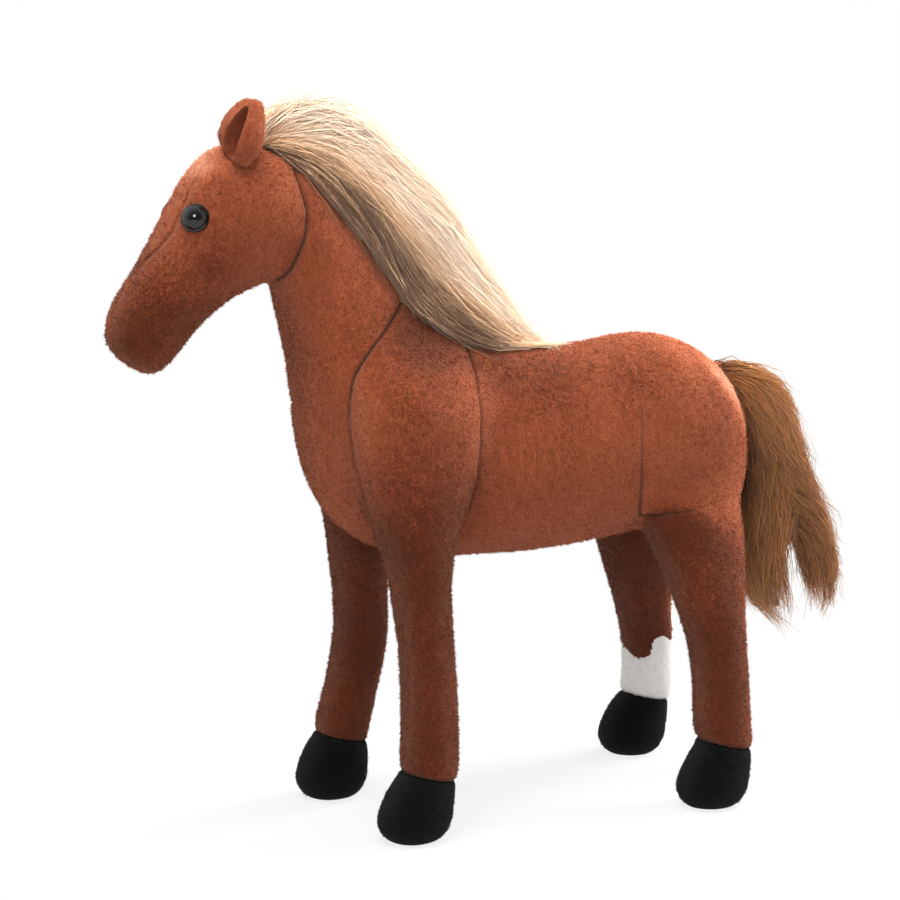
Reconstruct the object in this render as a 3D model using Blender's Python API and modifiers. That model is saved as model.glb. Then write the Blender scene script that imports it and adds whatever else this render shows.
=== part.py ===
# Standing plush horse: sewn covers over fibre fillings, safety eyes, soft ears, mane, tail and hooves.
# Metres, +Z up. The horse faces -Y and its left side is +X.

import math

import bpy
from mathutils import Matrix, Vector
from mathutils.bvhtree import BVHTree

# Driving sizes
belly_height = 0.138
barrel_depth = 0.110
barrel_half_width = 0.0465
torso_length = 0.200
neck_reach = 0.100
neck_half_width = 0.043
head_length = 0.125
head_half_width = 0.0275
shoulder_width = 0.075
shoulder_depth = 0.0265
front_leg_radius = 0.015
thigh_width = 0.067
thigh_depth = 0.0205
hind_leg_radius = 0.0152
stance_half_width = 0.052
hoof_height = 0.0335
hoof_length = 0.040
hoof_half_width = 0.018
mane_half_width = 0.0205
tail_length = 0.150
tail_half_width = 0.022
ear_height = 0.0325
ear_half_width = 0.0122
ear_half_depth = 0.0112
eye_radius = 0.007
sock_height = 0.046
gusset_half_width = 0.011
strip_half_width = 0.005
strip_thickness = 0.0018
dock_radius = 0.005
dock_reach = 0.0115
dock_depth = 0.012
tail_root_radius = 0.008

# Stations of the body along Y, seen from the side
neck_foot_y = -0.072
neck_rise_share = 2
front_leg_y = -0.0785
hind_leg_y = 0.094
stance_shift = 0.0218

# Where the small pieces sit and how they lean
hoof_seam_slope = 0.21
flank_along_share = 0.60
withers_along_share = 0.110
withers_up_share = 1.225
throat_ahead_share = 0.730
throat_up_share = 0.664
sock_border_slope = 0.45
hind_hoof_shift_share = 0.057
eye_ahead_share = 0.372
eye_up_share = 0.290
eye_sink = 0.0008
ear_side = 0.0150
ear_ahead_share = 0.180
ear_up_share = 1.0
ear_lean = math.radians(14)
ear_back_lean = math.radians(6)
ear_turn = math.radians(10)
ear_sink = 0.0012
far_ear_shift = 0.007
ear_swing = math.radians(15)
ear_foot_share = 0.34
lining_thickness = 0.0016
dock_up_share = 0.827

# Cloth, fits and the flat of the soles
cloth = 0.003
gap = 0.0003
pile_gap = 0.0009
sole_flat = 0.0005
plate_thickness = 0.0015

# How finely the soft forms are drawn
body_points = 10
limb_points = 6
sweep_steps = 4
sweep_rows = 6
ear_room_share = 1.12

horse = bpy.data.collections.new("plush_horse")
cutters = bpy.data.collections.new("cutters")


def clear_scene():
    for item in list(bpy.data.objects):
        bpy.data.objects.remove(item, do_unlink=True)
    bpy.context.scene.collection.children.link(horse)
    bpy.context.scene.collection.children.link(cutters)


def material(name, colour, roughness, metallic=0.0):
    made = bpy.data.materials.new(name)
    made.use_nodes = True
    shader = made.node_tree.nodes["Principled BSDF"]
    shader.inputs["Base Color"].default_value = (*colour, 1.0)
    shader.inputs["Roughness"].default_value = roughness
    shader.inputs["Metallic"].default_value = metallic
    return made


def add_object(name, mesh, collection, look=None):
    made = bpy.data.objects.new(name, mesh)
    collection.objects.link(made)
    made.parent = frame_origin
    if look:
        mesh.materials.append(look)
    if collection is cutters:
        made.hide_render = True
        made.display_type = "WIRE"
    return made


# A row of a loft is (side, front_y, front_z, back_y, back_z, half_width, narrowing, fullness): the section
# lies between the two points of the side view, narrowing draws in the side of its second point, and
# fullness takes its corners from an ellipse, at 0, towards a square.


def side_shift(row, amount):
    side, y1, z1, y2, z2, half, narrow, full = row
    return (side, y1 + amount, z1, y2 + amount, z2, half, narrow, full)


def inset_rows(rows, inset, open_start=False, open_end=False):
    smooth = []
    last = len(rows) - 1
    for i, row in enumerate(rows):
        before = rows[max(i - 1, 0)]
        after = rows[min(i + 1, last)]
        smooth.append([(a + 4 * b + c) / 6 for a, b, c in zip(before, row, after)])
    made = []
    for side, y1, z1, y2, z2, half, narrow, full in smooth:
        low = Vector((0, y1, z1))
        high = Vector((0, y2, z2))
        reach = (high - low).length / 2
        step = (high - low).normalized() * min(inset, reach / 2)
        low += step
        high -= step
        made.append([side, low.y, low.z, high.y, high.z, max(half - inset, half / 2), narrow, full])
    for at, towards, is_open in ((0, 1, open_start), (last, last - 1, open_end)):
        if is_open:
            continue
        middle_at = Vector((made[at][0], (made[at][1] + made[at][3]) / 2, (made[at][2] + made[at][4]) / 2))
        near = made[towards]
        middle_near = Vector((near[0], (near[1] + near[3]) / 2, (near[2] + near[4]) / 2))
        step = (middle_near - middle_at).normalized() * inset
        made[at] = [made[at][0] + step.x] + [
            value + (step.y if n % 2 == 0 else step.z) for n, value in enumerate(made[at][1:5])
        ] + made[at][5:]
    return made


def rounded(value, full):
    return math.copysign(abs(value) ** (1 - full), value)


def section(row, points, swell):
    side, y1, z1, y2, z2, half, narrow, full = row
    low = Vector((side, y1, z1))
    high = Vector((side, y2, z2))
    middle = (low + high) / 2
    reach = (high - low) / 2
    ring = []
    for n in range(points):
        angle = 2 * math.pi * (n + 0.5) / points
        across = rounded(math.cos(angle), full)
        along = rounded(math.sin(angle), full)
        width = half * across * (1 - narrow * (along + 1) / 2)
        ring.append(middle + (reach * along + Vector((width, 0, 0))) * swell)
    return ring


def loft_mesh(name, rows, points, swell, split=False):
    verts = []
    faces = []
    for row in rows:
        verts.extend(section(row, points, swell))
    for r in range(len(rows) - 1):
        for n in range(points):
            m = (n + 1) % points
            here, beside = r * points + n, r * points + m
            across, ahead = beside + points, here + points
            if split:
                faces.extend([(here, beside, across), (here, across, ahead)])
            else:
                faces.append((here, beside, across, ahead))
    faces.append(tuple(reversed(range(points))))
    top = (len(rows) - 1) * points
    faces.append(tuple(range(top, top + points)))
    mesh = bpy.data.meshes.new(name)
    mesh.from_pydata(verts, [], faces)
    mesh.validate()
    turn_outwards(mesh)
    return mesh


def turn_outwards(mesh):
    volume = 0.0
    for face in mesh.polygons:
        corners = [mesh.vertices[i].co for i in face.vertices]
        for second, third in zip(corners[1:-1], corners[2:]):
            volume += corners[0].dot(second.cross(third))
    if volume < 0:
        mesh.flip_normals()
    mesh.shade_smooth()


def soft_form(name, rows, points, collection, look=None):
    # The cage stands out by this factor, because subdivision draws a ring inwards.
    swell = 1 / (2 / 3 + math.cos(2 * math.pi / points) / 3)
    made = add_object(name, loft_mesh(name, rows, points, swell), collection, look)
    rounding = made.modifiers.new("rounding", "SUBSURF")
    rounding.levels = 1
    rounding.render_levels = 1
    return made


def plain_form(name, rows, points, collection, look=None, swell=1):
    return add_object(name, loft_mesh(name, rows, points, swell, split=True), collection, look)


def stuffing(name, inner_rows, points, look):
    # It fills the space inside a cover, less the fit.
    made = plain_form(name, inner_rows, points, horse, look)
    ease = made.modifiers.new("ease", "DISPLACE")
    ease.mid_level = 0.0
    ease.strength = -gap
    return made


def swollen(item, amount=gap):
    made = item.copy()
    made.name = item.name + "_fit"
    for collection in list(made.users_collection):
        collection.objects.unlink(made)
    cutters.objects.link(made)
    made.hide_render = True
    made.display_type = "WIRE"
    for modifier in list(made.modifiers):
        if modifier.type == "BOOLEAN":
            made.modifiers.remove(modifier)
    grow = made.modifiers.new("fit", "DISPLACE")
    grow.mid_level = 0.0
    grow.strength = amount
    return made


def cut(item, *others, keep=False):
    for other in others:
        step = item.modifiers.new("cut_" + other.name, "BOOLEAN")
        step.operation = "INTERSECT" if keep else "DIFFERENCE"
        step.solver = "EXACT"
        step.object = other


def cut_at_once(item, name, *others):
    # One cut with several forms that cross each other.
    forms = bpy.data.collections.new(name)
    for other in others:
        forms.objects.link(other)
    step = item.modifiers.new("cut_" + name, "BOOLEAN")
    step.operation = "DIFFERENCE"
    step.solver = "EXACT"
    step.operand_type = "COLLECTION"
    step.collection = forms


def join(item, other):
    step = item.modifiers.new("join_" + other.name, "BOOLEAN")
    step.operation = "UNION"
    step.solver = "EXACT"
    step.object = other


def block(name, low, high):
    corners = [(x, y, z) for x in (low[0], high[0]) for y in (low[1], high[1]) for z in (low[2], high[2])]
    faces = [(0, 1, 3, 2), (4, 6, 7, 5), (0, 4, 5, 1), (2, 3, 7, 6), (0, 2, 6, 4), (1, 5, 7, 3)]
    mesh = bpy.data.meshes.new(name)
    mesh.from_pydata(corners, [], faces)
    turn_outwards(mesh)
    mesh.shade_flat()
    return add_object(name, mesh, cutters)


def half_space(name, point, normal, size):
    # A large box whose face passes through the point, on the side that the normal points to.
    made = block(name, (-size, -size, 0), (size, size, 2 * size))
    turn = Vector((0, 0, 1)).rotation_difference(Vector(normal).normalized())
    made.rotation_mode = "QUATERNION"
    made.rotation_quaternion = turn
    made.location = point
    return made


def turned(name, profile, steps, collection, look=None, ring=False):
    # A profile of (radius, height) points, from the top of its outer side down, spun round Z.
    mesh = bpy.data.meshes.new(name)
    verts = [(radius, 0, height) for radius, height in profile]
    edges = [(n, n + 1) for n in range(len(verts) - 1)]
    if ring:
        edges.append((len(verts) - 1, 0))
    mesh.from_pydata(verts, edges, [])
    made = add_object(name, mesh, collection, look)
    spin = made.modifiers.new("spin", "SCREW")
    spin.steps = steps
    spin.render_steps = steps
    spin.use_merge_vertices = True
    spin.merge_threshold = gap / 10
    spin.use_smooth_shade = True
    return made


def aim(item, place, direction):
    item.rotation_mode = "QUATERNION"
    item.rotation_quaternion = Vector((0, 0, 1)).rotation_difference(direction.normalized())
    item.location = place


def surface_point(item, start, direction):
    # Where a ray from outside meets the form, and the form's outward normal there.
    bpy.context.view_layer.update()
    tree = BVHTree.FromObject(item, bpy.context.evaluated_depsgraph_get())
    place, normal, _, _ = tree.ray_cast(Vector(start), Vector(direction).normalized())
    return place, normal


clear_scene()
frame_origin = bpy.data.objects.new("frame_origin", None)
bpy.context.scene.collection.objects.link(frame_origin)
frame_origin.location = (0, stance_shift, 0)

chestnut = (0.27, 0.075, 0.035)
coat_looks = {}


def coat(name):
    coat_looks[name] = material(name, chestnut, 0.9)
    return coat_looks[name]


white_fibre = (0.85, 0.84, 0.80)

# Torso: barrel and rump. Shares: along the torso's length, and up from the belly by the barrel's depth.
torso_shares = [
    (-0.100, -0.015, 0.000, 1.380, 0.90, 0.50, 0.00),
    (0.000, -0.015, 0.110, 1.225, 0.93, 0.45, 0.00),
    (0.100, -0.010, 0.190, 1.115, 0.96, 0.32, 0.00),
    (0.210, -0.010, 0.280, 1.030, 0.99, 0.16, 0.00),
    (0.340, -0.010, 0.380, 0.990, 1.00, 0.08, 0.00),
    (0.470, 0.010, 0.490, 0.990, 1.00, 0.05, 0.05),
    (0.590, 0.040, 0.600, 1.018, 1.01, 0.05, 0.14),
    (0.700, 0.080, 0.720, 1.036, 1.04, 0.10, 0.24),
    (0.800, 0.100, 0.815, 0.985, 1.04, 0.14, 0.28),
    (0.875, 0.105, 0.885, 0.905, 0.96, 0.14, 0.26),
    (0.930, 0.120, 0.935, 0.800, 0.82, 0.10, 0.20),
    (0.968, 0.180, 0.968, 0.650, 0.58, 0.05, 0.10),
    (0.978, 0.290, 0.978, 0.540, 0.30, 0.00, 0.00),
]


def torso_place(along, up):
    return neck_foot_y + along * torso_length, belly_height + up * barrel_depth


torso_rows = [
    (0, *torso_place(low_y, low_z), *torso_place(high_y, high_z), wide * barrel_half_width, narrow, full)
    for low_y, low_z, high_y, high_z, wide, narrow, full in torso_shares
]

# Neck and chest. Shares: ahead by the neck's reach, and up by its rise, which is a multiple of the barrel's depth.
neck_shares = [
    (-0.200, 0.000, -0.400, 0.565, 1.03, 0.40),
    (0.000, -0.008, -0.220, 0.613, 1.00, 0.45),
    (0.280, 0.045, -0.120, 0.664, 0.98, 0.48),
    (0.490, 0.136, -0.030, 0.714, 0.93, 0.48),
    (0.590, 0.264, 0.060, 0.764, 0.86, 0.44),
    (0.608, 0.390, 0.160, 0.814, 0.78, 0.38),
    (0.640, 0.490, 0.270, 0.864, 0.69, 0.30),
    (0.686, 0.582, 0.400, 0.914, 0.62, 0.20),
    (0.730, 0.673, 0.540, 0.950, 0.58, 0.10),
    (0.800, 0.736, 0.700, 0.964, 0.53, 0.00),
    (0.880, 0.790, 0.840, 0.895, 0.30, 0.00),
]


def neck_place(ahead, up):
    return neck_foot_y - ahead * neck_reach, belly_height + up * neck_rise_share * barrel_depth


neck_rows = [
    (0, *neck_place(low_y, low_z), *neck_place(high_y, high_z), wide * neck_half_width, narrow, 0)
    for low_y, low_z, high_y, high_z, wide, narrow in neck_shares
]

# Head. Shares of the head's length, ahead of and above the throat, which the neck carries.
head_shares = [
    (-0.185, 0.170, -0.165, 0.400, 0.52, 0.00),
    (-0.105, 0.078, -0.110, 0.500, 0.82, 0.00),
    (0.030, 0.012, 0.050, 0.578, 0.97, 0.00),
    (0.152, -0.025, 0.215, 0.584, 1.00, 0.05),
    (0.240, -0.080, 0.330, 0.510, 0.95, 0.10),
    (0.310, -0.138, 0.418, 0.374, 0.86, 0.12),
    (0.362, -0.198, 0.500, 0.218, 0.76, 0.10),
    (0.410, -0.258, 0.582, 0.090, 0.69, 0.05),
    (0.462, -0.320, 0.668, -0.030, 0.67, 0.00),
    (0.520, -0.350, 0.712, -0.140, 0.60, 0.00),
    (0.588, -0.328, 0.702, -0.235, 0.36, 0.00),
]
throat_y, throat_z = neck_place(throat_ahead_share, throat_up_share)


def head_place(ahead, up):
    return throat_y - ahead * head_length, throat_z + up * head_length


head_rows = [
    (0, *head_place(low_y, low_z), *head_place(high_y, high_z), wide * head_half_width, narrow, 0)
    for low_y, low_z, high_y, high_z, wide, narrow in head_shares
]

torso_form = soft_form("torso_form", torso_rows, body_points, cutters)
neck_form = soft_form("neck_form", neck_rows, body_points, cutters)
head_form = soft_form("head_form", head_rows, body_points, cutters)
torso_fit = swollen(torso_form)
neck_fit = swollen(neck_form)
head_fit = swollen(head_form)

# The seam between torso and neck lies under the shoulders, in a plane through withers and elbow.
seam_low = Vector((0, *torso_place(0, 0)))
seam_high = Vector((0, *torso_place(withers_along_share, withers_up_share)))
seam_normal = Vector((1, 0, 0)).cross(seam_high - seam_low).normalized()
seam_reach = torso_length + neck_reach
ahead_of_seam = half_space("ahead_of_seam", seam_low - seam_normal * gap / 2, seam_normal, seam_reach)
behind_seam = half_space("behind_seam", seam_low + seam_normal * gap / 2, -seam_normal, seam_reach)

torso_inner_rows = inset_rows(torso_rows, cloth, open_start=True)
neck_inner_rows = inset_rows(neck_rows, cloth, open_start=True, open_end=True)
head_inner_rows = inset_rows(head_rows, cloth)
torso_inner = plain_form("torso_inner", torso_inner_rows, body_points, cutters)
neck_inner = plain_form("neck_inner", neck_inner_rows, body_points, cutters)
head_inner = plain_form("head_inner", head_inner_rows, body_points, cutters)

flank_place = Vector((0, *torso_place(flank_along_share, 0)))
half_gap = Vector((0, gap / 2, 0))
ahead_of_flank = half_space("ahead_of_flank", flank_place + half_gap, (0, -1, 0), seam_reach)
behind_flank = half_space("behind_flank", flank_place - half_gap, (0, 1, 0), seam_reach)

barrel_cover = soft_form("barrel_cover", torso_rows, body_points, horse, coat("barrel_cloth"))
cut(barrel_cover, ahead_of_seam, behind_flank, torso_inner)
rump_cover = soft_form("rump_cover", torso_rows, body_points, horse, coat("rump_cloth"))
cut(rump_cover, ahead_of_flank, torso_inner)

neck_cover = soft_form("neck_cover", neck_rows, body_points, horse, coat("neck_cloth"))
cut(neck_cover, behind_seam, head_fit, neck_inner)

torso_filling = stuffing("torso_filling", torso_inner_rows, body_points, material("torso_fibre", white_fibre, 0.95))
cut(torso_filling, ahead_of_seam)
neck_filling = stuffing("neck_filling", neck_inner_rows, body_points, material("neck_fibre", white_fibre, 0.95))
head_filling = stuffing("head_filling", head_inner_rows, body_points, material("head_fibre", white_fibre, 0.95))
cut(neck_filling, behind_seam, swollen(head_filling))

# Front limb: the almond-shaped shoulder panel runs down into the leg and the hoof.
# Shares: side by the stance, front and back by the shoulder's width, up by the barrel's depth.
shoulder_shares = [
    (0.365, 0.010, 0.140, 1.364, 0.15),
    (0.400, -0.080, 0.240, 1.300, 0.45),
    (0.460, -0.200, 0.340, 1.164, 0.72),
    (0.520, -0.380, 0.430, 0.991, 0.91),
    (0.558, -0.490, 0.500, 0.800, 1.00),
    (0.577, -0.510, 0.515, 0.609, 1.00),
    (0.615, -0.455, 0.455, 0.427, 0.94),
    (0.673, -0.370, 0.330, 0.255, 0.85),
    (0.730, -0.273, 0.230, 0.090, 0.73),
]
# Side by the stance, middle and half length by the leg's radius, up by the belly's height.
front_leg_shares = [
    (0.790, -0.12, 1.05, 0.942, 1.13),
    (0.846, -0.08, 0.98, 0.812, 1.05),
    (0.904, -0.01, 0.95, 0.659, 0.99),
    (0.942, 0.03, 1.00, 0.464, 0.99),
    (0.980, 0.00, 1.02, 0.290, 1.01),
]
# Hind limb: the thigh starts inside the rump.
thigh_shares = [
    (0.400, -0.350, 0.050, 0.600, 0.40),
    (0.430, -0.480, 0.160, 0.480, 0.66),
    (0.480, -0.580, 0.240, 0.350, 0.86),
    (0.550, -0.640, 0.300, 0.200, 0.97),
    (0.650, -0.550, 0.284, 0.045, 0.99),
]
hind_leg_shares = [
    (0.750, -0.44, 1.50, 0.906, 1.28),
    (0.808, -0.26, 1.28, 0.783, 1.15),
    (0.865, -0.09, 1.06, 0.659, 1.05),
    (0.923, 0.00, 0.99, 0.522, 1.00),
    (0.962, 0.00, 1.01, 0.384, 1.00),
    (0.990, 0.00, 1.05, 0.275, 1.02),
]
# Hoof: side by the stance, middle and half length by the hoof's length, up by its height.
hoof_shares = [
    (0.990, -0.036, 0.381, 1.000, 0.88),
    (1.000, -0.140, 0.452, 0.774, 0.93),
    (1.000, -0.230, 0.510, 0.387, 1.01),
    (1.000, -0.245, 0.490, 0.100, 1.00),
    (1.000, -0.235, 0.420, -0.055, 0.84),
    (1.000, -0.235, 0.170, -0.060, 0.34),
]
# How far each station of a limb stands ahead of or behind a square stance, by the hoof's length.
square_stance_shares = [
    0, 0, 0, 0, 0, 0, 0, 0, 0, 0, 0, -0.01, -0.03, -0.05, -0.05, -0.05, -0.05, -0.05, -0.05, -0.05,
]
hind_stance_shares = [
    0, 0, 0, 0, 0, 0, -0.02, -0.04, -0.06, -0.08, -0.10, -0.10, -0.10, -0.10, -0.10, -0.10, -0.10,
]
stepping_shares = [
    0, 0, 0, 0, 0, 0, 0, 0, -0.05, -0.06, -0.04, -0.03, -0.18, -0.34, -0.36, -0.33, -0.30, -0.30, -0.30, -0.30,
]
trailing_shares = [0, 0, 0, 0, 0, 0, 0.035, 0.06, 0.165, 0.24, 0.25, 0.21, 0.20, 0.20, 0.20, 0.20, 0.20]


def limb_rows(side_sign, spread, top_shares, top_width, top_depth, leg_shares, radius, middle_y, hoof_shift,
              lean_shares):
    made = []
    sign = side_sign
    for side, front, back, up, wide in top_shares:
        z = belly_height + up * barrel_depth
        ends = (middle_y + front * top_width, z, middle_y + back * top_width, z)
        made.append((sign * side * stance_half_width, *ends, wide * top_depth, 0, 0))
    for side, middle, half, up, wide in leg_shares:
        sign = side_sign * (1 + (spread - 1) * (1 - up))
        y = middle_y + middle * radius
        z = up * belly_height
        ends = (y - half * radius, z, y + half * radius, z)
        made.append((sign * side * stance_half_width, *ends, wide * radius, 0, 0))
    sign = side_sign * spread
    for side, middle, half, up, wide in hoof_shares:
        y = middle_y + (middle + hoof_shift) * hoof_length
        z = max(up * hoof_height, -sole_flat)
        ends = (y - half * hoof_length, z, y + half * hoof_length, z)
        made.append((sign * side * stance_half_width, *ends, wide * hoof_half_width, 0, 0))
    return [side_shift(row, lean * hoof_length) for row, lean in zip(made, lean_shares)]


def build_limb(name, rows, body_fits, sock=False):
    low = -len(hoof_shares)
    foot = rows[low]
    foot_place = (foot[0], (foot[1] + foot[3]) / 2, foot[2])
    seam_normal = Vector((0, hoof_seam_slope, 1)).normalized()
    wide = torso_length
    seat = cloth + gap
    plate_top = seat + plate_thickness
    lift = Vector((0, 0, gap / 2))
    above_seam = half_space(name + "_above_seam", Vector(foot_place) - lift, seam_normal, wide)
    below_seam = half_space(name + "_below_seam", Vector(foot_place) + lift, -seam_normal, wide)
    side = (foot[0], foot[1])
    below_floor = half_space(name + "_below_floor", (*side, 0), (0, 0, -1), wide)
    below_lining = half_space(name + "_below_lining", (*side, cloth), (0, 0, -1), wide)
    below_plate = half_space(name + "_below_plate", (*side, seat), (0, 0, -1), wide)
    above_plate = half_space(name + "_above_plate", (*side, plate_top), (0, 0, 1), wide)
    on_plate = half_space(name + "_on_plate", (*side, plate_top + gap), (0, 0, -1), wide)

    inner_rows = inset_rows(rows, cloth)
    inner = plain_form(name + "_inner", inner_rows, limb_points, cutters)
    cut(inner, below_lining)

    cover = soft_form(name + "_cover", rows, limb_points, horse, coat(name + "_cloth"))
    cut(cover, *body_fits, below_seam, inner)
    if sock:
        border = foot_place[2] + sock_height
        border_place = Vector((foot_place[0], foot_place[1], border))
        border_normal = Vector((0, -sock_border_slope, 1)).normalized()
        above_border = half_space(name + "_above_border", border_place - lift, border_normal, wide)
        below_border = half_space(name + "_below_border", border_place + lift, -border_normal, wide)
        cut(cover, below_border)
        white = material("sock_cloth", (0.80, 0.79, 0.76), 0.9)
        sleeve = soft_form(name + "_sock", rows, limb_points, horse, white)
        cut(sleeve, above_border, below_seam, inner)

    velour = material(name + "_hoof_velour", (0.012, 0.012, 0.012), 0.8)
    hoof = soft_form(name + "_hoof", rows, limb_points, horse, velour)
    cut(hoof, above_seam, below_floor, inner)

    board = material(name + "_sole_board", (0.45, 0.42, 0.36), 0.6)
    plate = stuffing(name + "_sole_plate", inner_rows, limb_points, board)
    cut(plate, above_plate, below_plate)
    filling = stuffing(name + "_filling", inner_rows, limb_points, material(name + "_fibre", white_fibre, 0.95))
    cut(filling, *body_fits, on_plate)


shoulder_fits = []
for side_name, sign, front_spread, hind_spread, front_lean, hind_lean in (
    ("left", 1, 1.09, 1.14, square_stance_shares, hind_stance_shares),
    ("right", -1, 0.76, 1.14, stepping_shares, trailing_shares),
):
    front_rows = limb_rows(
        sign, front_spread, shoulder_shares, shoulder_width, shoulder_depth, front_leg_shares,
        front_leg_radius, front_leg_y, 0, front_lean,
    )
    hind_rows = limb_rows(
        sign, hind_spread, thigh_shares, thigh_width, thigh_depth, hind_leg_shares,
        hind_leg_radius, hind_leg_y, hind_hoof_shift_share, hind_lean,
    )
    build_limb("front_leg_" + side_name, front_rows, (torso_fit, neck_fit))
    shoulder = soft_form("shoulder_" + side_name, front_rows[:-len(hoof_shares)], limb_points, cutters)
    shoulder_fits.append(swollen(shoulder, pile_gap))
    build_limb("hind_leg_" + side_name, hind_rows, (torso_fit,), sign < 0)

# Head: two cheek panels joined under the jaw, and the gusset let in between them down the face.
gusset_shares = [
    (0.200, 0.240, 0.270, 0.660, 0.70),
    (0.260, 0.160, 0.440, 0.520, 0.95),
    (0.340, 0.030, 0.620, 0.240, 0.88),
    (0.420, -0.070, 0.780, 0.020, 0.66),
    (0.480, -0.150, 0.820, -0.150, 0.50),
    (0.500, -0.200, 0.740, -0.330, 0.40),
]
square_swell = math.sqrt(2)
gusset_rows = [
    (0, *head_place(low_y, low_z), *head_place(high_y, high_z), wide * gusset_half_width, 0, 0)
    for low_y, low_z, high_y, high_z, wide in gusset_shares
]
wedge = add_object("gusset_wedge", loft_mesh("gusset_wedge", gusset_rows, 4, square_swell, split=True), cutters)
wedge_fit = swollen(wedge)

eye_profile_shares = [
    (0.0, 0.66), (0.36, 0.60), (0.67, 0.43), (0.88, 0.20), (1.0, 0.0),
    (1.0, -0.12), (0.90, -0.18), (0.34, -0.18), (0.34, -1.60), (0.0, -1.60),
]
washer_profile_shares = [(1.10, -0.80), (1.10, -1.02), (0.40, -1.02), (0.40, -0.80)]
# The room of both: radius and height by the eye's radius, and which way the height is let out.
eye_room_shares = [
    (0.0, 0.80, 0), (1.0, 0.80, 0), (1.0, -0.18, -1), (0.34, -0.18, -1), (0.34, -0.80, 1), (1.10, -0.80, 1),
    (1.10, -1.02, -1), (0.34, -1.02, -1), (0.34, -1.60, -1), (0.0, -1.60, -1),
]


def scaled(profile, size):
    return [(radius * size, height * size) for radius, height in profile]


cheeks = {}
gusset = soft_form("forehead_gusset", head_rows, body_points, horse, coat("gusset_cloth"))
cut(gusset, wedge, keep=True)
cut(gusset, head_inner)
for side_name, sign in (("left", 1), ("right", -1)):
    beside = (sign * gap / 2, throat_y, throat_z)
    other_half = half_space("beside_" + side_name, beside, (-sign, 0, 0), torso_length)
    cheek = soft_form("cheek_" + side_name, head_rows, body_points, horse, coat("cheek_" + side_name + "_cloth"))
    cut(cheek, other_half, wedge_fit, head_inner, neck_inner)
    cheeks[side_name] = cheek

    eye_y, eye_z = head_place(eye_ahead_share, eye_up_share)
    place, normal = surface_point(head_form, (sign * head_length, eye_y, eye_z), (-sign, 0, 0))
    eye = turned("eye_" + side_name, scaled(eye_profile_shares, eye_radius), 16, horse,
                 material("eye_plastic_" + side_name, (0.006, 0.006, 0.007), 0.08))
    washer = turned("eye_washer_" + side_name, scaled(washer_profile_shares, eye_radius), 16, horse,
                    material("washer_plastic_" + side_name, (0.7, 0.7, 0.68), 0.4), ring=True)
    room_profile = [
        (radius * eye_radius + (gap if radius else 0), height * eye_radius + way * gap)
        for radius, height, way in eye_room_shares
    ]
    eye_room = turned("eye_room_" + side_name, room_profile, 16, cutters)
    seat = place - normal * eye_sink
    for item in (eye, washer, eye_room):
        aim(item, seat, normal)
    cut(cheek, eye_room)
    cut(head_filling, eye_room)

# Ears: a stuffed cup open to the front with a lining let into it, hinged along its sewn base line.
# Shares: front and back by the ear's half depth, half width by its half width, up by its height.
ear_shares = [
    (-0.15, 0.15, -0.04, 0.50),
    (-0.42, 0.42, 0.03, 0.80),
    (-0.78, 0.78, 0.19, 1.00),
    (-0.90, 0.95, 0.42, 1.04),
    (-0.62, 0.90, 0.68, 0.82),
    (-0.20, 0.75, 0.88, 0.50),
    (0.15, 0.60, 1.00, 0.22),
]
scoop_shares = [
    (-1.70, -0.20, 0.12, 0.35),
    (-1.90, 0.15, 0.25, 0.64),
    (-1.90, 0.30, 0.46, 0.70),
    (-1.60, 0.32, 0.68, 0.52),
    (-1.20, 0.30, 0.83, 0.26),
]


def ear_rows(shares, ahead=0.0):
    return [
        (0, front * ear_half_depth - ahead, up * ear_height, back * ear_half_depth - ahead, up * ear_height,
         wide * ear_half_width, 0, 0)
        for front, back, up, wide in shares
    ]


def swept_rows(rows):
    # The room that the foot of the ear needs as it swings either way about its hinge.
    outline = []
    for side, y1, z1, y2, z2, half, narrow, full in rows:
        for y, z in ((y1, z1), (y2, z2)):
            for n in range(-sweep_steps, sweep_steps + 1):
                angle = ear_swing * n / sweep_steps
                turned_y = y * math.cos(angle) - z * math.sin(angle)
                turned_z = y * math.sin(angle) + z * math.cos(angle)
                outline.append((turned_z, abs(turned_y)))
    lowest = min(outline)[0] - gap
    highest = ear_foot_share * ear_height
    made = []
    for n in range(sweep_rows + 1):
        z = lowest + (highest - lowest) * n / sweep_rows
        band = (highest - lowest) / sweep_rows / 2
        near = [wide for height, wide in outline if height < z + band + gap]
        reach = max(near) + gap
        made.append((0, -reach, z, reach, z, ear_half_width * ear_room_share, 0, 0))
    return made


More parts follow.
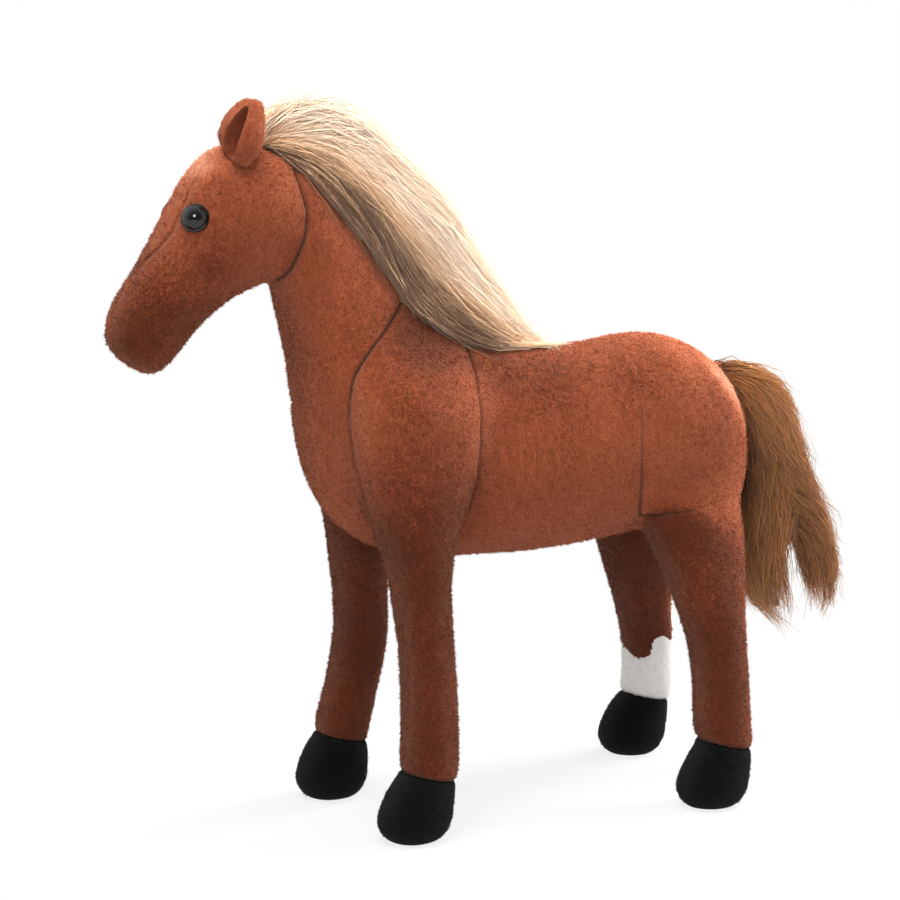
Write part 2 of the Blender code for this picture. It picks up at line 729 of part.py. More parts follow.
for side_name, sign in (("left", 1), ("right", -1)):
    ear_y, ear_z = head_place(ear_ahead_share, ear_up_share)
    if sign < 0:
        ear_y += far_ear_shift
    place, normal = surface_point(head_form, (sign * ear_side, ear_y, ear_z), (0, 0, -1))
    upward = Vector((sign * math.sin(ear_lean), math.sin(ear_back_lean), math.cos(ear_lean))).normalized()
    opening = Vector((sign * math.sin(ear_turn), -math.cos(ear_turn), 0))
    across = upward.cross(opening).normalized()
    back = upward.cross(across).normalized()
    if back.y < 0:
        back = -back
        across = -across
    across = back.cross(upward).normalized()
    turn = Matrix((across, back, upward)).transposed().to_quaternion()
    hinge = place - normal * ear_sink

    ear_form = soft_form("ear_form_" + side_name, ear_rows(ear_shares), limb_points, cutters)
    ear_room = plain_form(
        "ear_room_" + side_name, swept_rows(ear_rows(ear_shares)), limb_points, cutters,
        swell=1 / math.cos(math.pi / limb_points),
    )
    scoop = soft_form("ear_scoop_" + side_name, ear_rows(scoop_shares), limb_points, cutters)
    hollow = soft_form("ear_hollow_" + side_name, ear_rows(scoop_shares, lining_thickness), limb_points, cutters)
    ear_look = coat("ear_" + side_name + "_cloth")
    ear = soft_form("ear_" + side_name, ear_rows(ear_shares), limb_points, horse, ear_look)
    lining = soft_form("ear_lining_" + side_name, ear_rows(scoop_shares), limb_points, horse,
                       material("ear_lining_cloth_" + side_name, (0.16, 0.045, 0.022), 0.9))
    scoop_fit = swollen(scoop)
    for item in (ear_form, ear_room, scoop, hollow, ear, lining, scoop_fit):
        item.rotation_mode = "QUATERNION"
        item.rotation_quaternion = turn
        item.location = hinge
    cut(ear, scoop_fit)
    cut(lining, ear_form, keep=True)
    cut(lining, hollow)
    cut(cheeks[side_name], ear_room)
    cut(head_filling, ear_room)

# Mane: a backing strip along the crest, and the long pile sewn to it.
crest_rows = list(reversed(neck_rows[1:-1])) + torso_rows[2:5]
strip_rows = []
for row in crest_rows:
    low = Vector((0, row[1], row[2]))
    high = Vector((0, row[3], row[4]))
    outward = (high - low).normalized()
    inside = high - outward * strip_half_width
    outside = high + outward * strip_thickness
    strip_rows.append((0, inside.y, inside.z, outside.y, outside.z, strip_half_width, 0, 0))
strip_form = plain_form("mane_strip_form", strip_rows, limb_points, cutters)
strip = plain_form("mane_strip", strip_rows, limb_points, horse, material("mane_backing", (0.45, 0.33, 0.2), 0.9))
cut(strip, torso_fit, neck_fit, head_fit)

mane_shares = [
    (0.78, 0.905, 0.81, 1.012, 0.28),
    (0.74, 0.895, 0.77, 1.080, 0.48),
    (0.62, 0.865, 0.65, 1.112, 0.66),
    (0.48, 0.820, 0.41, 1.105, 0.90),
    (0.34, 0.750, 0.20, 1.062, 0.96),
    (0.20, 0.680, 0.02, 1.008, 1.00),
    (0.05, 0.605, -0.15, 0.935, 1.00),
    (-0.09, 0.540, -0.32, 0.842, 1.00),
    (-0.25, 0.490, -0.47, 0.736, 0.95),
    (-0.43, 0.462, -0.62, 0.636, 0.83),
    (-0.63, 0.450, -0.76, 0.550, 0.55),
    (-0.75, 0.464, -0.83, 0.509, 0.22),
]
mane_rows = [
    (0, *neck_place(low_y, low_z), *neck_place(high_y, high_z), wide * mane_half_width, 0, 0)
    for low_y, low_z, high_y, high_z, wide in mane_shares
]
mane = soft_form("mane_pile", mane_rows, limb_points, horse, material("mane_hair", (0.80, 0.58, 0.36), 0.7))
beneath_mane = [swollen(strip_form), swollen(torso_form, pile_gap), neck_fit, head_fit]
cut_at_once(mane, "beneath_mane", *beneath_mane, *shoulder_fits)

# Tail: a stuffed dock let into the rump, with a round end on which the long pile lifts.
tail_shares = [
    (-0.037, -0.027, -0.037, 0.027, 0.18),
    (-0.007, -0.057, -0.007, 0.050, 0.36),
    (0.040, -0.100, 0.060, 0.047, 0.57),
    (0.067, -0.167, 0.147, 0.000, 0.73),
    (0.067, -0.267, 0.227, -0.093, 0.86),
    (0.060, -0.387, 0.287, -0.207, 0.95),
    (0.053, -0.527, 0.347, -0.373, 1.00),
    (0.053, -0.673, 0.413, -0.547, 1.00),
    (0.073, -0.813, 0.447, -0.733, 0.91),
    (0.147, -0.940, 0.433, -0.880, 0.64),
    (0.240, -1.013, 0.393, -0.953, 0.27),
]
dock_z = torso_place(0, dock_up_share)[1]
dock_surface, _ = surface_point(torso_form, (0, torso_length, dock_z), (0, -1, 0))
pivot = Vector((0, dock_surface.y + dock_reach, dock_z))
tail_rows = [
    (0, low_y * tail_length, low_z * tail_length, high_y * tail_length, high_z * tail_length,
     wide * tail_half_width, 0, 0)
    for low_y, low_z, high_y, high_z, wide in tail_shares
]
tail = soft_form("tail_pile", tail_rows, limb_points, horse, material("tail_hair", (0.36, 0.19, 0.09), 0.7))
tail.location = pivot


def ball(name, place, radius):
    bpy.ops.mesh.primitive_uv_sphere_add(segments=16, ring_count=8, radius=radius)
    made = bpy.context.object
    made.name = name
    bpy.context.collection.objects.unlink(made)
    cutters.objects.link(made)
    made.parent = frame_origin
    made.location = place
    made.hide_render = True
    made.display_type = "WIRE"
    return made


dock_length = dock_depth + dock_reach
dock_profile = [(0, dock_length), (dock_radius, dock_length), (dock_radius, 0), (0, 0)]
dock = turned("tail_dock", dock_profile, 16, horse, coat("dock_cloth"))
aim(dock, pivot - Vector((0, dock_length, 0)), Vector((0, 1, 0)))
root_ball = ball("tail_root_ball", pivot, tail_root_radius)
root_room = ball("tail_root_room", pivot, tail_root_radius + gap)
join(tail, root_ball)
dock_fit = swollen(dock)
cut(dock, root_room)
cut(rump_cover, dock_fit)
cut(torso_filling, dock_fit)
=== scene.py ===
# Plush horse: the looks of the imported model. It stands on its soles, faces -Y, and its left side is +X.
import math

import bmesh
import bpy
import numpy as np
from mathutils import Matrix, Vector, noise
from mathutils.bvhtree import BVHTree
from mathutils.kdtree import KDTree


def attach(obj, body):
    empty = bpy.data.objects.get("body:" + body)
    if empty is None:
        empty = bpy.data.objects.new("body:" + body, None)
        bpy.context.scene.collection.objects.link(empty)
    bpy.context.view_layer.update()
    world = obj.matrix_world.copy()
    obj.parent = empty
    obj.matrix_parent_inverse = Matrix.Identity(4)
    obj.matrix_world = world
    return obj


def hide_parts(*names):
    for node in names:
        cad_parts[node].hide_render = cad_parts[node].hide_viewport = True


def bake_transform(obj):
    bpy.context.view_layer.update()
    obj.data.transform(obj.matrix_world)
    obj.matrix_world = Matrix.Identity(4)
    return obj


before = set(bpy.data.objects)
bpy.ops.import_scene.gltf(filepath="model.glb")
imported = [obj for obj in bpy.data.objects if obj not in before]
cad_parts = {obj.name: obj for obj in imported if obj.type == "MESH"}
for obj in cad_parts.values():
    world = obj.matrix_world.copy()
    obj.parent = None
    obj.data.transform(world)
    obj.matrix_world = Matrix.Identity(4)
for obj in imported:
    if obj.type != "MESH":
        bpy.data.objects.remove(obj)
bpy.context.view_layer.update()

forward = 0.0218  # the stance stands this far back of the body's own stations
print("frame loaded")


# shader wires

class Wire:
    # One output of a node, so that node sums read as sums.
    def __init__(self, nodes, socket):
        self.nodes = nodes
        self.socket = socket

    def maths(self, operation, first, second=None):
        return self.nodes.node("ShaderNodeMath", {"operation": operation}, {0: first, 1: second})

    def __add__(self, other):
        return self.maths("ADD", self, other)

    __radd__ = __add__

    def __sub__(self, other):
        return self.maths("SUBTRACT", self, other)

    def __rsub__(self, other):
        return self.maths("SUBTRACT", other, self)

    def __mul__(self, other):
        return self.maths("MULTIPLY", self, other)

    __rmul__ = __mul__

    def __abs__(self):
        return self.maths("ABSOLUTE", self)


class Nodes:
    # A node tree and the one method that adds a node to it.
    def __init__(self, tree):
        self.tree = tree

    def node(self, kind, settings, inputs, output=0):
        made = self.tree.nodes.new(kind)
        for name, value in settings.items():
            setattr(made, name, value)
        for socket, value in inputs.items():
            self.feed(made.inputs[socket], value)
        return Wire(self, made.outputs[output])

    def feed(self, socket, value):
        if isinstance(value, Wire):
            self.tree.links.new(value.socket, socket)
        elif value is not None:
            isColour = isinstance(value, tuple) and len(value) == 3 and socket.type == "RGBA"
            socket.default_value = (*value, 1) if isColour else value

    def attribute(self, word):
        return self.node("ShaderNodeAttribute", {"attribute_name": word}, {}, 2)

    def mixed(self, factor, first, second):
        return self.node("ShaderNodeMix", {"data_type": "RGBA"}, {0: factor, 6: first, 7: second}, 2)

    def between(self, value, low, high, least=0.0, most=1.0):
        return self.node(
            "ShaderNodeMapRange", {"interpolation_type": "SMOOTHSTEP"},
            {0: value, 1: low, 2: high, 3: least, 4: most},
        )

    def grain(self, scale, detail=2.0, twist=0.0, roughness=0.5):
        # Noise on the piece's own coordinates.
        return self.node(
            "ShaderNodeTexNoise", {},
            {"Vector": self.place, "Scale": scale, "Detail": detail, "Roughness": roughness, "Distortion": twist},
        )

    def seenRays(self):
        # The camera's own rays, and the sum of these with the mirrored ones and those through glass.
        path = self.tree.nodes.new("ShaderNodeLightPath")
        camera, glossy, passing = (
            Wire(self, path.outputs["Is " + word + " Ray"]) for word in ("Camera", "Glossy", "Transmission")
        )
        return camera, camera + glossy + passing


class Paint(Nodes):
    # A material with its look set on the shader's own sockets.
    def __init__(self, name, look):
        self.material = bpy.data.materials.new(name)
        self.material.use_nodes = True
        super().__init__(self.material.node_tree)
        self.shader = self.tree.nodes["Principled BSDF"]
        self.place = self.node("ShaderNodeTexCoord", {}, {}, "Object")
        for socket, value in look.items():
            self.shader.inputs[socket].default_value = value

    def finish(self, colour, bump=None):
        self.feed(self.shader.inputs["Base Color"], colour)
        if bump is not None:
            height, strength, distance = bump
            bumped = self.node("ShaderNodeBump", {}, {"Height": height, "Strength": strength, "Distance": distance})
            self.feed(self.shader.inputs["Normal"], bumped)
        return self.material


def srgb(red, green, blue):
    # The colour picker's 0-255 numbers, as the light that the shader wants.
    out = []
    for value in (red, green, blue):
        value = value / 255
        out.append(value / 12.92 if value <= 0.04045 else ((value + 0.055) / 1.055) ** 2.4)
    return tuple(out)


# camera

photoView = {
    "place": (1.24617, -0.55930, 0.385),
    "towards": (-0.9097368, 0.39089734, -0.13992219),
    "lens": 102.89,
    "sensor": 36.0,
    "pixels": 900,
}


def placed(name, data):
    # A new object of the scene at the origin.
    item = bpy.data.objects.new(name, data)
    bpy.context.scene.collection.objects.link(item)
    return item


def turnedTo(way):
    return Vector(way).to_track_quat("-Z", "Y").to_euler()


def addCamera(values):
    data = bpy.data.cameras.new("camera")
    data.lens = values["lens"]
    data.sensor_width = values["sensor"]
    camera = placed("camera", data)
    camera.location = values["place"]
    camera.rotation_euler = turnedTo(values["towards"])
    bpy.context.scene.camera = camera


viewPlace = np.array(photoView["place"])
viewAhead = np.array(photoView["towards"])
viewRight = np.cross(viewAhead, (0, 0, 1))
viewRight /= np.linalg.norm(viewRight)
viewUp = np.cross(viewRight, viewAhead)
viewFocal = photoView["lens"] / photoView["sensor"] * photoView["pixels"]


def toPhoto(points):
    # Where points show in the photograph, in its pixels.
    away = points - viewPlace
    depth = away @ viewAhead
    half = photoView["pixels"] / 2
    return np.stack((half + viewFocal * (away @ viewRight) / depth, half - viewFocal * (away @ viewUp) / depth), 1)


def toPhotoMirrored(points):
    # The same with the points of the right half mirrored to the left one.
    seen = np.array(points, float).reshape(-1, 3).copy()
    seen[:, 0] = np.abs(seen[:, 0])
    return toPhoto(seen)


def photoRay(x, y):
    half = photoView["pixels"] / 2
    way = viewAhead + viewRight * (x - half) / viewFocal + viewUp * (half - y) / viewFocal
    return Vector(viewPlace), Vector(way).normalized()


addCamera(photoView)
print("camera set")

# the body's lofts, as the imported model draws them

body = {
    "bellyHeight": 0.138, "barrelDepth": 0.110, "barrelHalfWidth": 0.0465, "torsoLength": 0.200,
    "neckReach": 0.100, "neckRise": 0.220, "neckHalfWidth": 0.043, "headLength": 0.125, "headHalfWidth": 0.0275,
    "neckFoot": -0.072, "frontLeg": -0.0785, "hindLeg": 0.094,
    "shoulderWidth": 0.075, "shoulderDepth": 0.0265, "frontRadius": 0.015,
    "thighWidth": 0.067, "thighDepth": 0.0205, "hindRadius": 0.0152, "stanceHalf": 0.052,
    "hoofHeight": 0.0335, "hoofLength": 0.040, "hoofHalfWidth": 0.018, "hindHoofShift": 0.057,
    "hoofSeamSlope": 0.21, "sockHeight": 0.046, "sockSlope": 0.45, "flankAlong": 0.60,
}

torsoShares = [
    (-0.100, -0.015, 0.000, 1.380, 0.90, 0.50, 0.00), (0.000, -0.015, 0.110, 1.225, 0.93, 0.45, 0.00),
    (0.100, -0.010, 0.190, 1.115, 0.96, 0.32, 0.00), (0.210, -0.010, 0.280, 1.030, 0.99, 0.16, 0.00),
    (0.340, -0.010, 0.380, 0.990, 1.00, 0.08, 0.00), (0.470, 0.010, 0.490, 0.990, 1.00, 0.05, 0.05),
    (0.590, 0.040, 0.600, 1.018, 1.01, 0.05, 0.14), (0.700, 0.080, 0.720, 1.036, 1.04, 0.10, 0.24),
    (0.800, 0.100, 0.815, 0.985, 1.04, 0.14, 0.28), (0.875, 0.105, 0.885, 0.905, 0.96, 0.14, 0.26),
    (0.930, 0.120, 0.935, 0.800, 0.82, 0.10, 0.20), (0.968, 0.180, 0.968, 0.650, 0.58, 0.05, 0.10),
    (0.978, 0.290, 0.978, 0.540, 0.30, 0.00, 0.00),
]
neckShares = [
    (-0.200, 0.000, -0.400, 0.565, 1.03, 0.40), (0.000, -0.008, -0.220, 0.613, 1.00, 0.45),
    (0.280, 0.045, -0.120, 0.664, 0.98, 0.48), (0.490, 0.136, -0.030, 0.714, 0.93, 0.48),
    (0.590, 0.264, 0.060, 0.764, 0.86, 0.44), (0.608, 0.390, 0.160, 0.814, 0.78, 0.38),
    (0.640, 0.490, 0.270, 0.864, 0.69, 0.30), (0.686, 0.582, 0.400, 0.914, 0.62, 0.20),
    (0.730, 0.673, 0.540, 0.950, 0.58, 0.10), (0.800, 0.736, 0.700, 0.964, 0.53, 0.00),
    (0.880, 0.790, 0.840, 0.895, 0.30, 0.00),
]
headShares = [
    (-0.185, 0.170, -0.165, 0.400, 0.52, 0.00), (-0.105, 0.078, -0.110, 0.500, 0.82, 0.00),
    (0.030, 0.012, 0.050, 0.578, 0.97, 0.00), (0.152, -0.025, 0.215, 0.584, 1.00, 0.05),
    (0.240, -0.080, 0.330, 0.510, 0.95, 0.10), (0.310, -0.138, 0.418, 0.374, 0.86, 0.12),
    (0.362, -0.198, 0.500, 0.218, 0.76, 0.10), (0.410, -0.258, 0.582, 0.090, 0.69, 0.05),
    (0.462, -0.320, 0.668, -0.030, 0.67, 0.00), (0.520, -0.350, 0.712, -0.140, 0.60, 0.00),
    (0.588, -0.328, 0.702, -0.235, 0.36, 0.00),
]
shoulderShares = [
    (0.365, 0.010, 0.140, 1.364, 0.15), (0.400, -0.080, 0.240, 1.300, 0.45), (0.460, -0.200, 0.340, 1.164, 0.72),
    (0.520, -0.380, 0.430, 0.991, 0.91), (0.558, -0.490, 0.500, 0.800, 1.00), (0.577, -0.510, 0.515, 0.609, 1.00),
    (0.615, -0.455, 0.455, 0.427, 0.94), (0.673, -0.370, 0.330, 0.255, 0.85), (0.730, -0.273, 0.230, 0.090, 0.73),
]
frontLegShares = [
    (0.790, -0.12, 1.05, 0.942, 1.13), (0.846, -0.08, 0.98, 0.812, 1.05), (0.904, -0.01, 0.95, 0.659, 0.99),
    (0.942, 0.03, 1.00, 0.464, 0.99), (0.980, 0.00, 1.02, 0.290, 1.01),
]
thighShares = [
    (0.400, -0.350, 0.050, 0.600, 0.40), (0.430, -0.480, 0.160, 0.480, 0.66), (0.480, -0.580, 0.240, 0.350, 0.86),
    (0.550, -0.640, 0.300, 0.200, 0.97), (0.650, -0.550, 0.284, 0.045, 0.99),
]
hindLegShares = [
    (0.750, -0.44, 1.50, 0.906, 1.28), (0.808, -0.26, 1.28, 0.783, 1.15), (0.865, -0.09, 1.06, 0.659, 1.05),
    (0.923, 0.00, 0.99, 0.522, 1.00), (0.962, 0.00, 1.01, 0.384, 1.00), (0.990, 0.00, 1.05, 0.275, 1.02),
]
hoofShares = [
    (0.990, -0.036, 0.381, 1.000, 0.88), (1.000, -0.140, 0.452, 0.774, 0.93), (1.000, -0.230, 0.510, 0.387, 1.01),
    (1.000, -0.245, 0.490, 0.100, 1.00), (1.000, -0.235, 0.420, -0.055, 0.84), (1.000, -0.235, 0.170, -0.060, 0.34),
]
squareStance = [0] * 11 + [-0.01, -0.03] + [-0.05] * 7
hindStance = [0] * 6 + [-0.02, -0.04, -0.06, -0.08] + [-0.10] * 7
stepping = [0] * 8 + [-0.05, -0.06, -0.04, -0.03, -0.18, -0.34, -0.36, -0.33] + [-0.30] * 4
trailing = [0] * 6 + [0.035, 0.06, 0.165, 0.24, 0.25, 0.21] + [0.20] * 5


def torsoPlace(along, up):
    return body["neckFoot"] + forward + along * body["torsoLength"], body["bellyHeight"] + up * body["barrelDepth"]


def neckPlace(ahead, up):
    return body["neckFoot"] + forward - ahead * body["neckReach"], body["bellyHeight"] + up * body["neckRise"]


def headPlace(ahead, up):
    throatY, throatZ = neckPlace(0.730, 0.664)
    return throatY - ahead * body["headLength"], throatZ + up * body["headLength"]


def trunkRows(shares, place, halfWidth):
    rows = []
    for lowY, lowZ, highY, highZ, wide, narrow, *full in shares:
        rows.append((0, *place(lowY, lowZ), *place(highY, highZ), wide * halfWidth, narrow, full[0] if full else 0))
    return rows


def limbRows(sideSign, spread, topShares, topWidth, topDepth, legShares, radius, middleY, hoofShift, lean):
    rows = []
    middleY += forward
    for side, front, back, up, wide in topShares:
        z = body["bellyHeight"] + up * body["barrelDepth"]
        x = sideSign * side * body["stanceHalf"]
        rows.append([x, middleY + front * topWidth, z, middleY + back * topWidth, z, wide * topDepth, 0, 0])
    for side, middle, half, up, wide in legShares:
        x = sideSign * (1 + (spread - 1) * (1 - up)) * side * body["stanceHalf"]
        y, z = middleY + middle * radius, up * body["bellyHeight"]
        rows.append([x, y - half * radius, z, y + half * radius, z, wide * radius, 0, 0])
    for side, middle, half, up, wide in hoofShares:
        y = middleY + (middle + hoofShift) * body["hoofLength"]
        z = max(up * body["hoofHeight"], -0.0005)
        reach = half * body["hoofLength"]
        rows.append([sideSign * spread * side * body["stanceHalf"], y - reach, z, y + reach, z,
                     wide * body["hoofHalfWidth"], 0, 0])
    for row, amount in zip(rows, lean):
        row[1] += amount * body["hoofLength"]
        row[3] += amount * body["hoofLength"]
    return rows


def ring(row, points, swell):
    side, y1, z1, y2, z2, half, narrow, full = row
    out = []
    for n in range(points):
        angle = 2 * math.pi * (n + 0.5) / points
        across, along = math.cos(angle), math.sin(angle)
        across = math.copysign(abs(across) ** (1 - full), across)
        along = math.copysign(abs(along) ** (1 - full), along)
        width = half * across * (1 - narrow * (along + 1) / 2) * swell
        reach = along * swell / 2
        out.append((side + width, (y1 + y2) / 2 + (y2 - y1) * reach, (z1 + z2) / 2 + (z2 - z1) * reach))
    return out


def applyModifier(item, name):
    bpy.ops.object.select_all(action="DESELECT")
    item.select_set(True)
    bpy.context.view_layer.objects.active = item
    bpy.ops.object.modifier_apply(modifier=name)


def addMesh(name, verts, faces):
    mesh = bpy.data.meshes.new(name)
    mesh.from_pydata([tuple(v) for v in verts], [], faces)
    mesh.validate()
    return placed(name, mesh)


def facingOut(item):
    # Recalculates the normals of a closed mesh.
    rough = bmesh.new()
    rough.from_mesh(item.data)
    bmesh.ops.remove_doubles(rough, verts=rough.verts, dist=1e-7)
    bmesh.ops.recalc_face_normals(rough, faces=rough.faces)
    rough.to_mesh(item.data)
    rough.free()
    return item


def ringFaces(rows, size):
    # Quads between rings of one size, and a cap at both ends.
    faces = []
    for r in range(rows - 1):
        for n in range(size):
            m = (n + 1) % size
            faces.append((r * size + n, r * size + m, (r + 1) * size + m, (r + 1) * size + n))
    return faces + [tuple(reversed(range(size))), tuple(range((rows - 1) * size, rows * size))]


def loft(name, rows, points, levels):
    swell = 1 / (2 / 3 + math.cos(2 * math.pi / points) / 3)
    verts = [corner for row in rows for corner in ring(row, points, swell)]
    item = facingOut(addMesh(name, verts, ringFaces(len(rows), points)))
    rounding = item.modifiers.new("rounding", "SUBSURF")
    rounding.levels = rounding.render_levels = levels
    applyModifier(item, "rounding")
    return item


limbs = {
    "frontLegLeft": limbRows(1, 1.09, shoulderShares, body["shoulderWidth"], body["shoulderDepth"], frontLegShares,
                             body["frontRadius"], body["frontLeg"], 0, squareStance),
    "frontLegRight": limbRows(-1, 0.76, shoulderShares, body["shoulderWidth"], body["shoulderDepth"], frontLegShares,
                              body["frontRadius"], body["frontLeg"], 0, stepping),
    "hindLegLeft": limbRows(1, 1.14, thighShares, body["thighWidth"], body["thighDepth"], hindLegShares,
                            body["hindRadius"], body["hindLeg"], body["hindHoofShift"], hindStance),
    "hindLegRight": limbRows(-1, 1.14, thighShares, body["thighWidth"], body["thighDepth"], hindLegShares,
                             body["hindRadius"], body["hindLeg"], body["hindHoofShift"], trailing),
}
forms = {
    "torso": loft("torsoForm", trunkRows(torsoShares, torsoPlace, body["barrelHalfWidth"]), 10, 3),
    "neck": loft("neckForm", trunkRows(neckShares, neckPlace, body["neckHalfWidth"]), 10, 3),
    "head": loft("headForm", trunkRows(headShares, headPlace, body["headHalfWidth"]), 10, 3),
}
for limbName, rows in limbs.items():
    forms[limbName] = loft(limbName + "Form", rows, 6, 4)
print("lofts", len(forms))

# one skin over all the lofts, which is then cut into its cloth panels
skinLook = {
    "voxel": 0.0017, "fillet": 0.007, "filletRounds": 30, "broadFillet": 0.016, "broadRounds": 60, "seamReach": 0.0042,
    "seamDepth": 0.0016, "seamWidth": 0.0009, "dipDepth": 0.0008, "dipWidth": 0.0048,
    "puckerDepth": 0.00016, "puckerWidth": 0.0065, "puckerWaves": 160, "midlineDepth": 0.0007, "midlineWidth": 0.0009,
    "bladeReach": 0.016, "bladeRise": 0.0012, "bladeRounds": 90, "hipReach": 0.020, "hipRounds": 460, "hipSmoothing": 40,
    "soleRounding": 0.24, "soleHeight": 0.013, "lumps": ((28, 0.0005), (75, 0.00022)), "clothThickness": 0.0022,
}


def treeOf(item):
    mesh = item.data
    return BVHTree.FromPolygons([v.co.copy() for v in mesh.vertices], [tuple(p.vertices) for p in mesh.polygons])


formTrees = {name: treeOf(item) for name, item in forms.items()}
for item in forms.values():
    facingOut(item)
bpy.ops.object.select_all(action="DESELECT")
for item in forms.values():
    item.select_set(True)
skin = forms["torso"]
bpy.context.view_layer.objects.active = skin
bpy.ops.object.join()
skin.data.remesh_voxel_size = skinLook["voxel"]
skin.data.use_remesh_preserve_volume = True
bpy.ops.object.voxel_remesh()
print("skin", len(skin.data.polygons))


def readAll(rows, word, width=1, kind=float):
    # One value or vector of every vertex, edge, face or corner.
    out = np.empty(len(rows) * width, kind)
    rows.foreach_get(word, out)
    return out.reshape(-1, width) if width > 1 else out


def coords(mesh):
    return readAll(mesh.vertices, "co", 3)


def normalsOf(mesh):
    return readAll(mesh.vertices, "normal", 3)


def edgesOf(mesh):
    return readAll(mesh.edges, "vertices", 2, int)


def setValues(mesh, word, values):
    # One number for each vertex, which the materials read.
    mesh.attributes.new(word, "FLOAT", "POINT").data.foreach_set("value", values.astype(np.float32))


def setCoords(mesh, points):
    mesh.vertices.foreach_set("co", np.ascontiguousarray(points, float).ravel())
    mesh.update()


def relaxed(points, edges, rounds, weight):
    # Each round moves a point towards its neighbours' middle, by its weight.
    count = np.zeros(len(points))
    np.add.at(count, edges[:, 0], 1)
    np.add.at(count, edges[:, 1], 1)
    for _ in range(rounds):
        total = np.zeros_like(points)
        for axis in range(3):
            total[:, axis] = np.bincount(edges[:, 0], points[edges[:, 1], axis], len(points))
            total[:, axis] += np.bincount(edges[:, 1], points[edges[:, 0], axis], len(points))
        points = points + (total / count[:, None] - points) * weight[:, None]
    return points


def distances(points, tree, reach=1.0):
    out = np.full(len(points), reach)
    for i, point in enumerate(points):
        found = tree.find_nearest(Vector(point), reach)
        if found[0] is not None:
            out[i] = found[3]
    return out


def curve(stations, share):
    # A place on a line of the side view at a share of its stations, smoothed by a cubic.
    stations = np.array(stations, float)
    at = np.clip(share, 0, 1) * (len(stations) - 1)
    i = np.minimum(at.astype(int), len(stations) - 2)
    t = (at - i)[..., None]
    before = stations[np.maximum(i - 1, 0)]
    here, there = stations[i], stations[i + 1]
    after = stations[np.minimum(i + 2, len(stations) - 1)]
    bend = 2 * before - 5 * here + 4 * there - after
    return here + 0.5 * t * (there - before + t * (bend + t * (3 * (here - there) + after - before)))


def rising(values, low, high):
    share = np.clip((values - low) / (high - low), 0, 1)
    return share * share * (3 - 2 * share)


def nearestForms(points):
    # How far each point lies from each loft.
    return np.stack([distances(points, tree, 0.02) for tree in formTrees.values()], 1)


# soft fillets where two lofts meet, the shoulder's upper end laid on the neck, and the hip filled out
points = coords(skin.data)
formTable = nearestForms(points)
fid = {name: n for n, name in enumerate(formTrees)}
ordered = np.sort(formTable, 1)
meeting = np.clip(1 - ordered[:, 1] / skinLook["fillet"], 0, 1)
edges = edgesOf(skin.data)
points = relaxed(points, edges, 6, np.full(len(points), 0.5))
points = relaxed(points, edges, skinLook["filletRounds"], 0.6 * meeting)
trunkAway = formTable[:, [fid["torso"], fid["neck"]]].min(1)
limbAway = formTable[:, [fid[name] for name in limbs]].min(1)
broad = np.clip(1.25 - np.maximum(trunkAway, limbAway) / skinLook["broadFillet"], 0, 1)
broad *= np.clip((points[:, 2] - 0.150) / 0.03, 0, 1) * np.clip((np.abs(points[:, 0]) - 0.008) / 0.008, 0, 1)
points = relaxed(points, edges, skinLook["broadRounds"], 0.7 * broad)
nearLimb = np.clip(1 - limbAway / skinLook["bladeReach"], 0, 1)
blade = nearLimb * rising(points[:, 2], 0.222, 0.270)
for n in np.nonzero(blade > 0.01)[0]:
    found = [formTrees[name].find_nearest(Vector(points[n]))[:2] for name in ("neck", "torso")]
    overs = [(Vector(points[n]) - place).dot(normal) for place, normal in found]
    place, normal = found[int(np.argmin(overs))]
    target = place + normal * skinLook["bladeRise"]
    if min(overs) > skinLook["bladeRise"]:
        points[n] += (np.array(target) - points[n]) * min(1, blade[n] * 1.15)
points = relaxed(points, edges, skinLook["bladeRounds"], 0.8 * nearLimb * rising(points[:, 2], 0.205, 0.235))
setCoords(skin.data, points)
hip = np.clip(1.5 - np.maximum(trunkAway, limbAway) / skinLook["hipReach"], 0, 1)
hip = hip * rising(points[:, 1], 0.100, 0.120) * rising(points[:, 2], 0.122, 0.145)
filled = relaxed(points, edges, skinLook["hipRounds"], 0.85 * hip)
outwards = ((filled - points) * normalsOf(skin.data)).sum(1)
points = relaxed(np.where(outwards[:, None] > 0, filled, points), edges, skinLook["hipSmoothing"], 0.7 * hip)
setCoords(skin.data, points)

# the seams, as they run in the photograph, with how strongly each shows along its length
seamsInPhoto = {
    "cheek": ([(288, 150), (297, 172), (307, 205), (308, 220), (305, 240), (295, 262), (286, 275), (275, 283)], 1.0, 1.0),
    "gusset": ([(110, 328), (111, 314), (115, 302), (127, 280), (145, 260), (160, 245), (172, 230)], 0.6, 0.5),
    "gussetTop": ([(172, 230), (181, 208), (190, 188), (202, 168), (212, 158)], 0.5, 0.12),
    "shoulderFront": ([(409, 262), (409, 280), (401, 306), (388, 328), (370, 352), (354, 378), (348, 410), (349, 440),
                       (356, 474), (366, 506), (376, 540), (382, 558)], 1.0, 0.7),
    "shoulderBack": ([(446, 300), (460, 330), (474, 362), (481, 400), (483, 430), (480, 470), (472, 502), (460, 530),
                      (454, 548)], 0.9, 0.8),
    "flank": ([(641, 400), (642.5, 430), (643, 460), (642, 490), (640, 517)], 0.12, 1.0),
    "thigh": ([(640, 517), (660, 515), (680, 513), (695, 510), (706, 506)], 1.2, 0.0),
}
softFolds = [  # line, depth, width
    ([(294, 397), (304, 404), (318, 416), (330, 430)], 0.0010, 0.0030),
    ([(210, 188), (204, 196), (199, 204)], 0.0008, 0.0040),
]
skinTree = treeOf(skin)


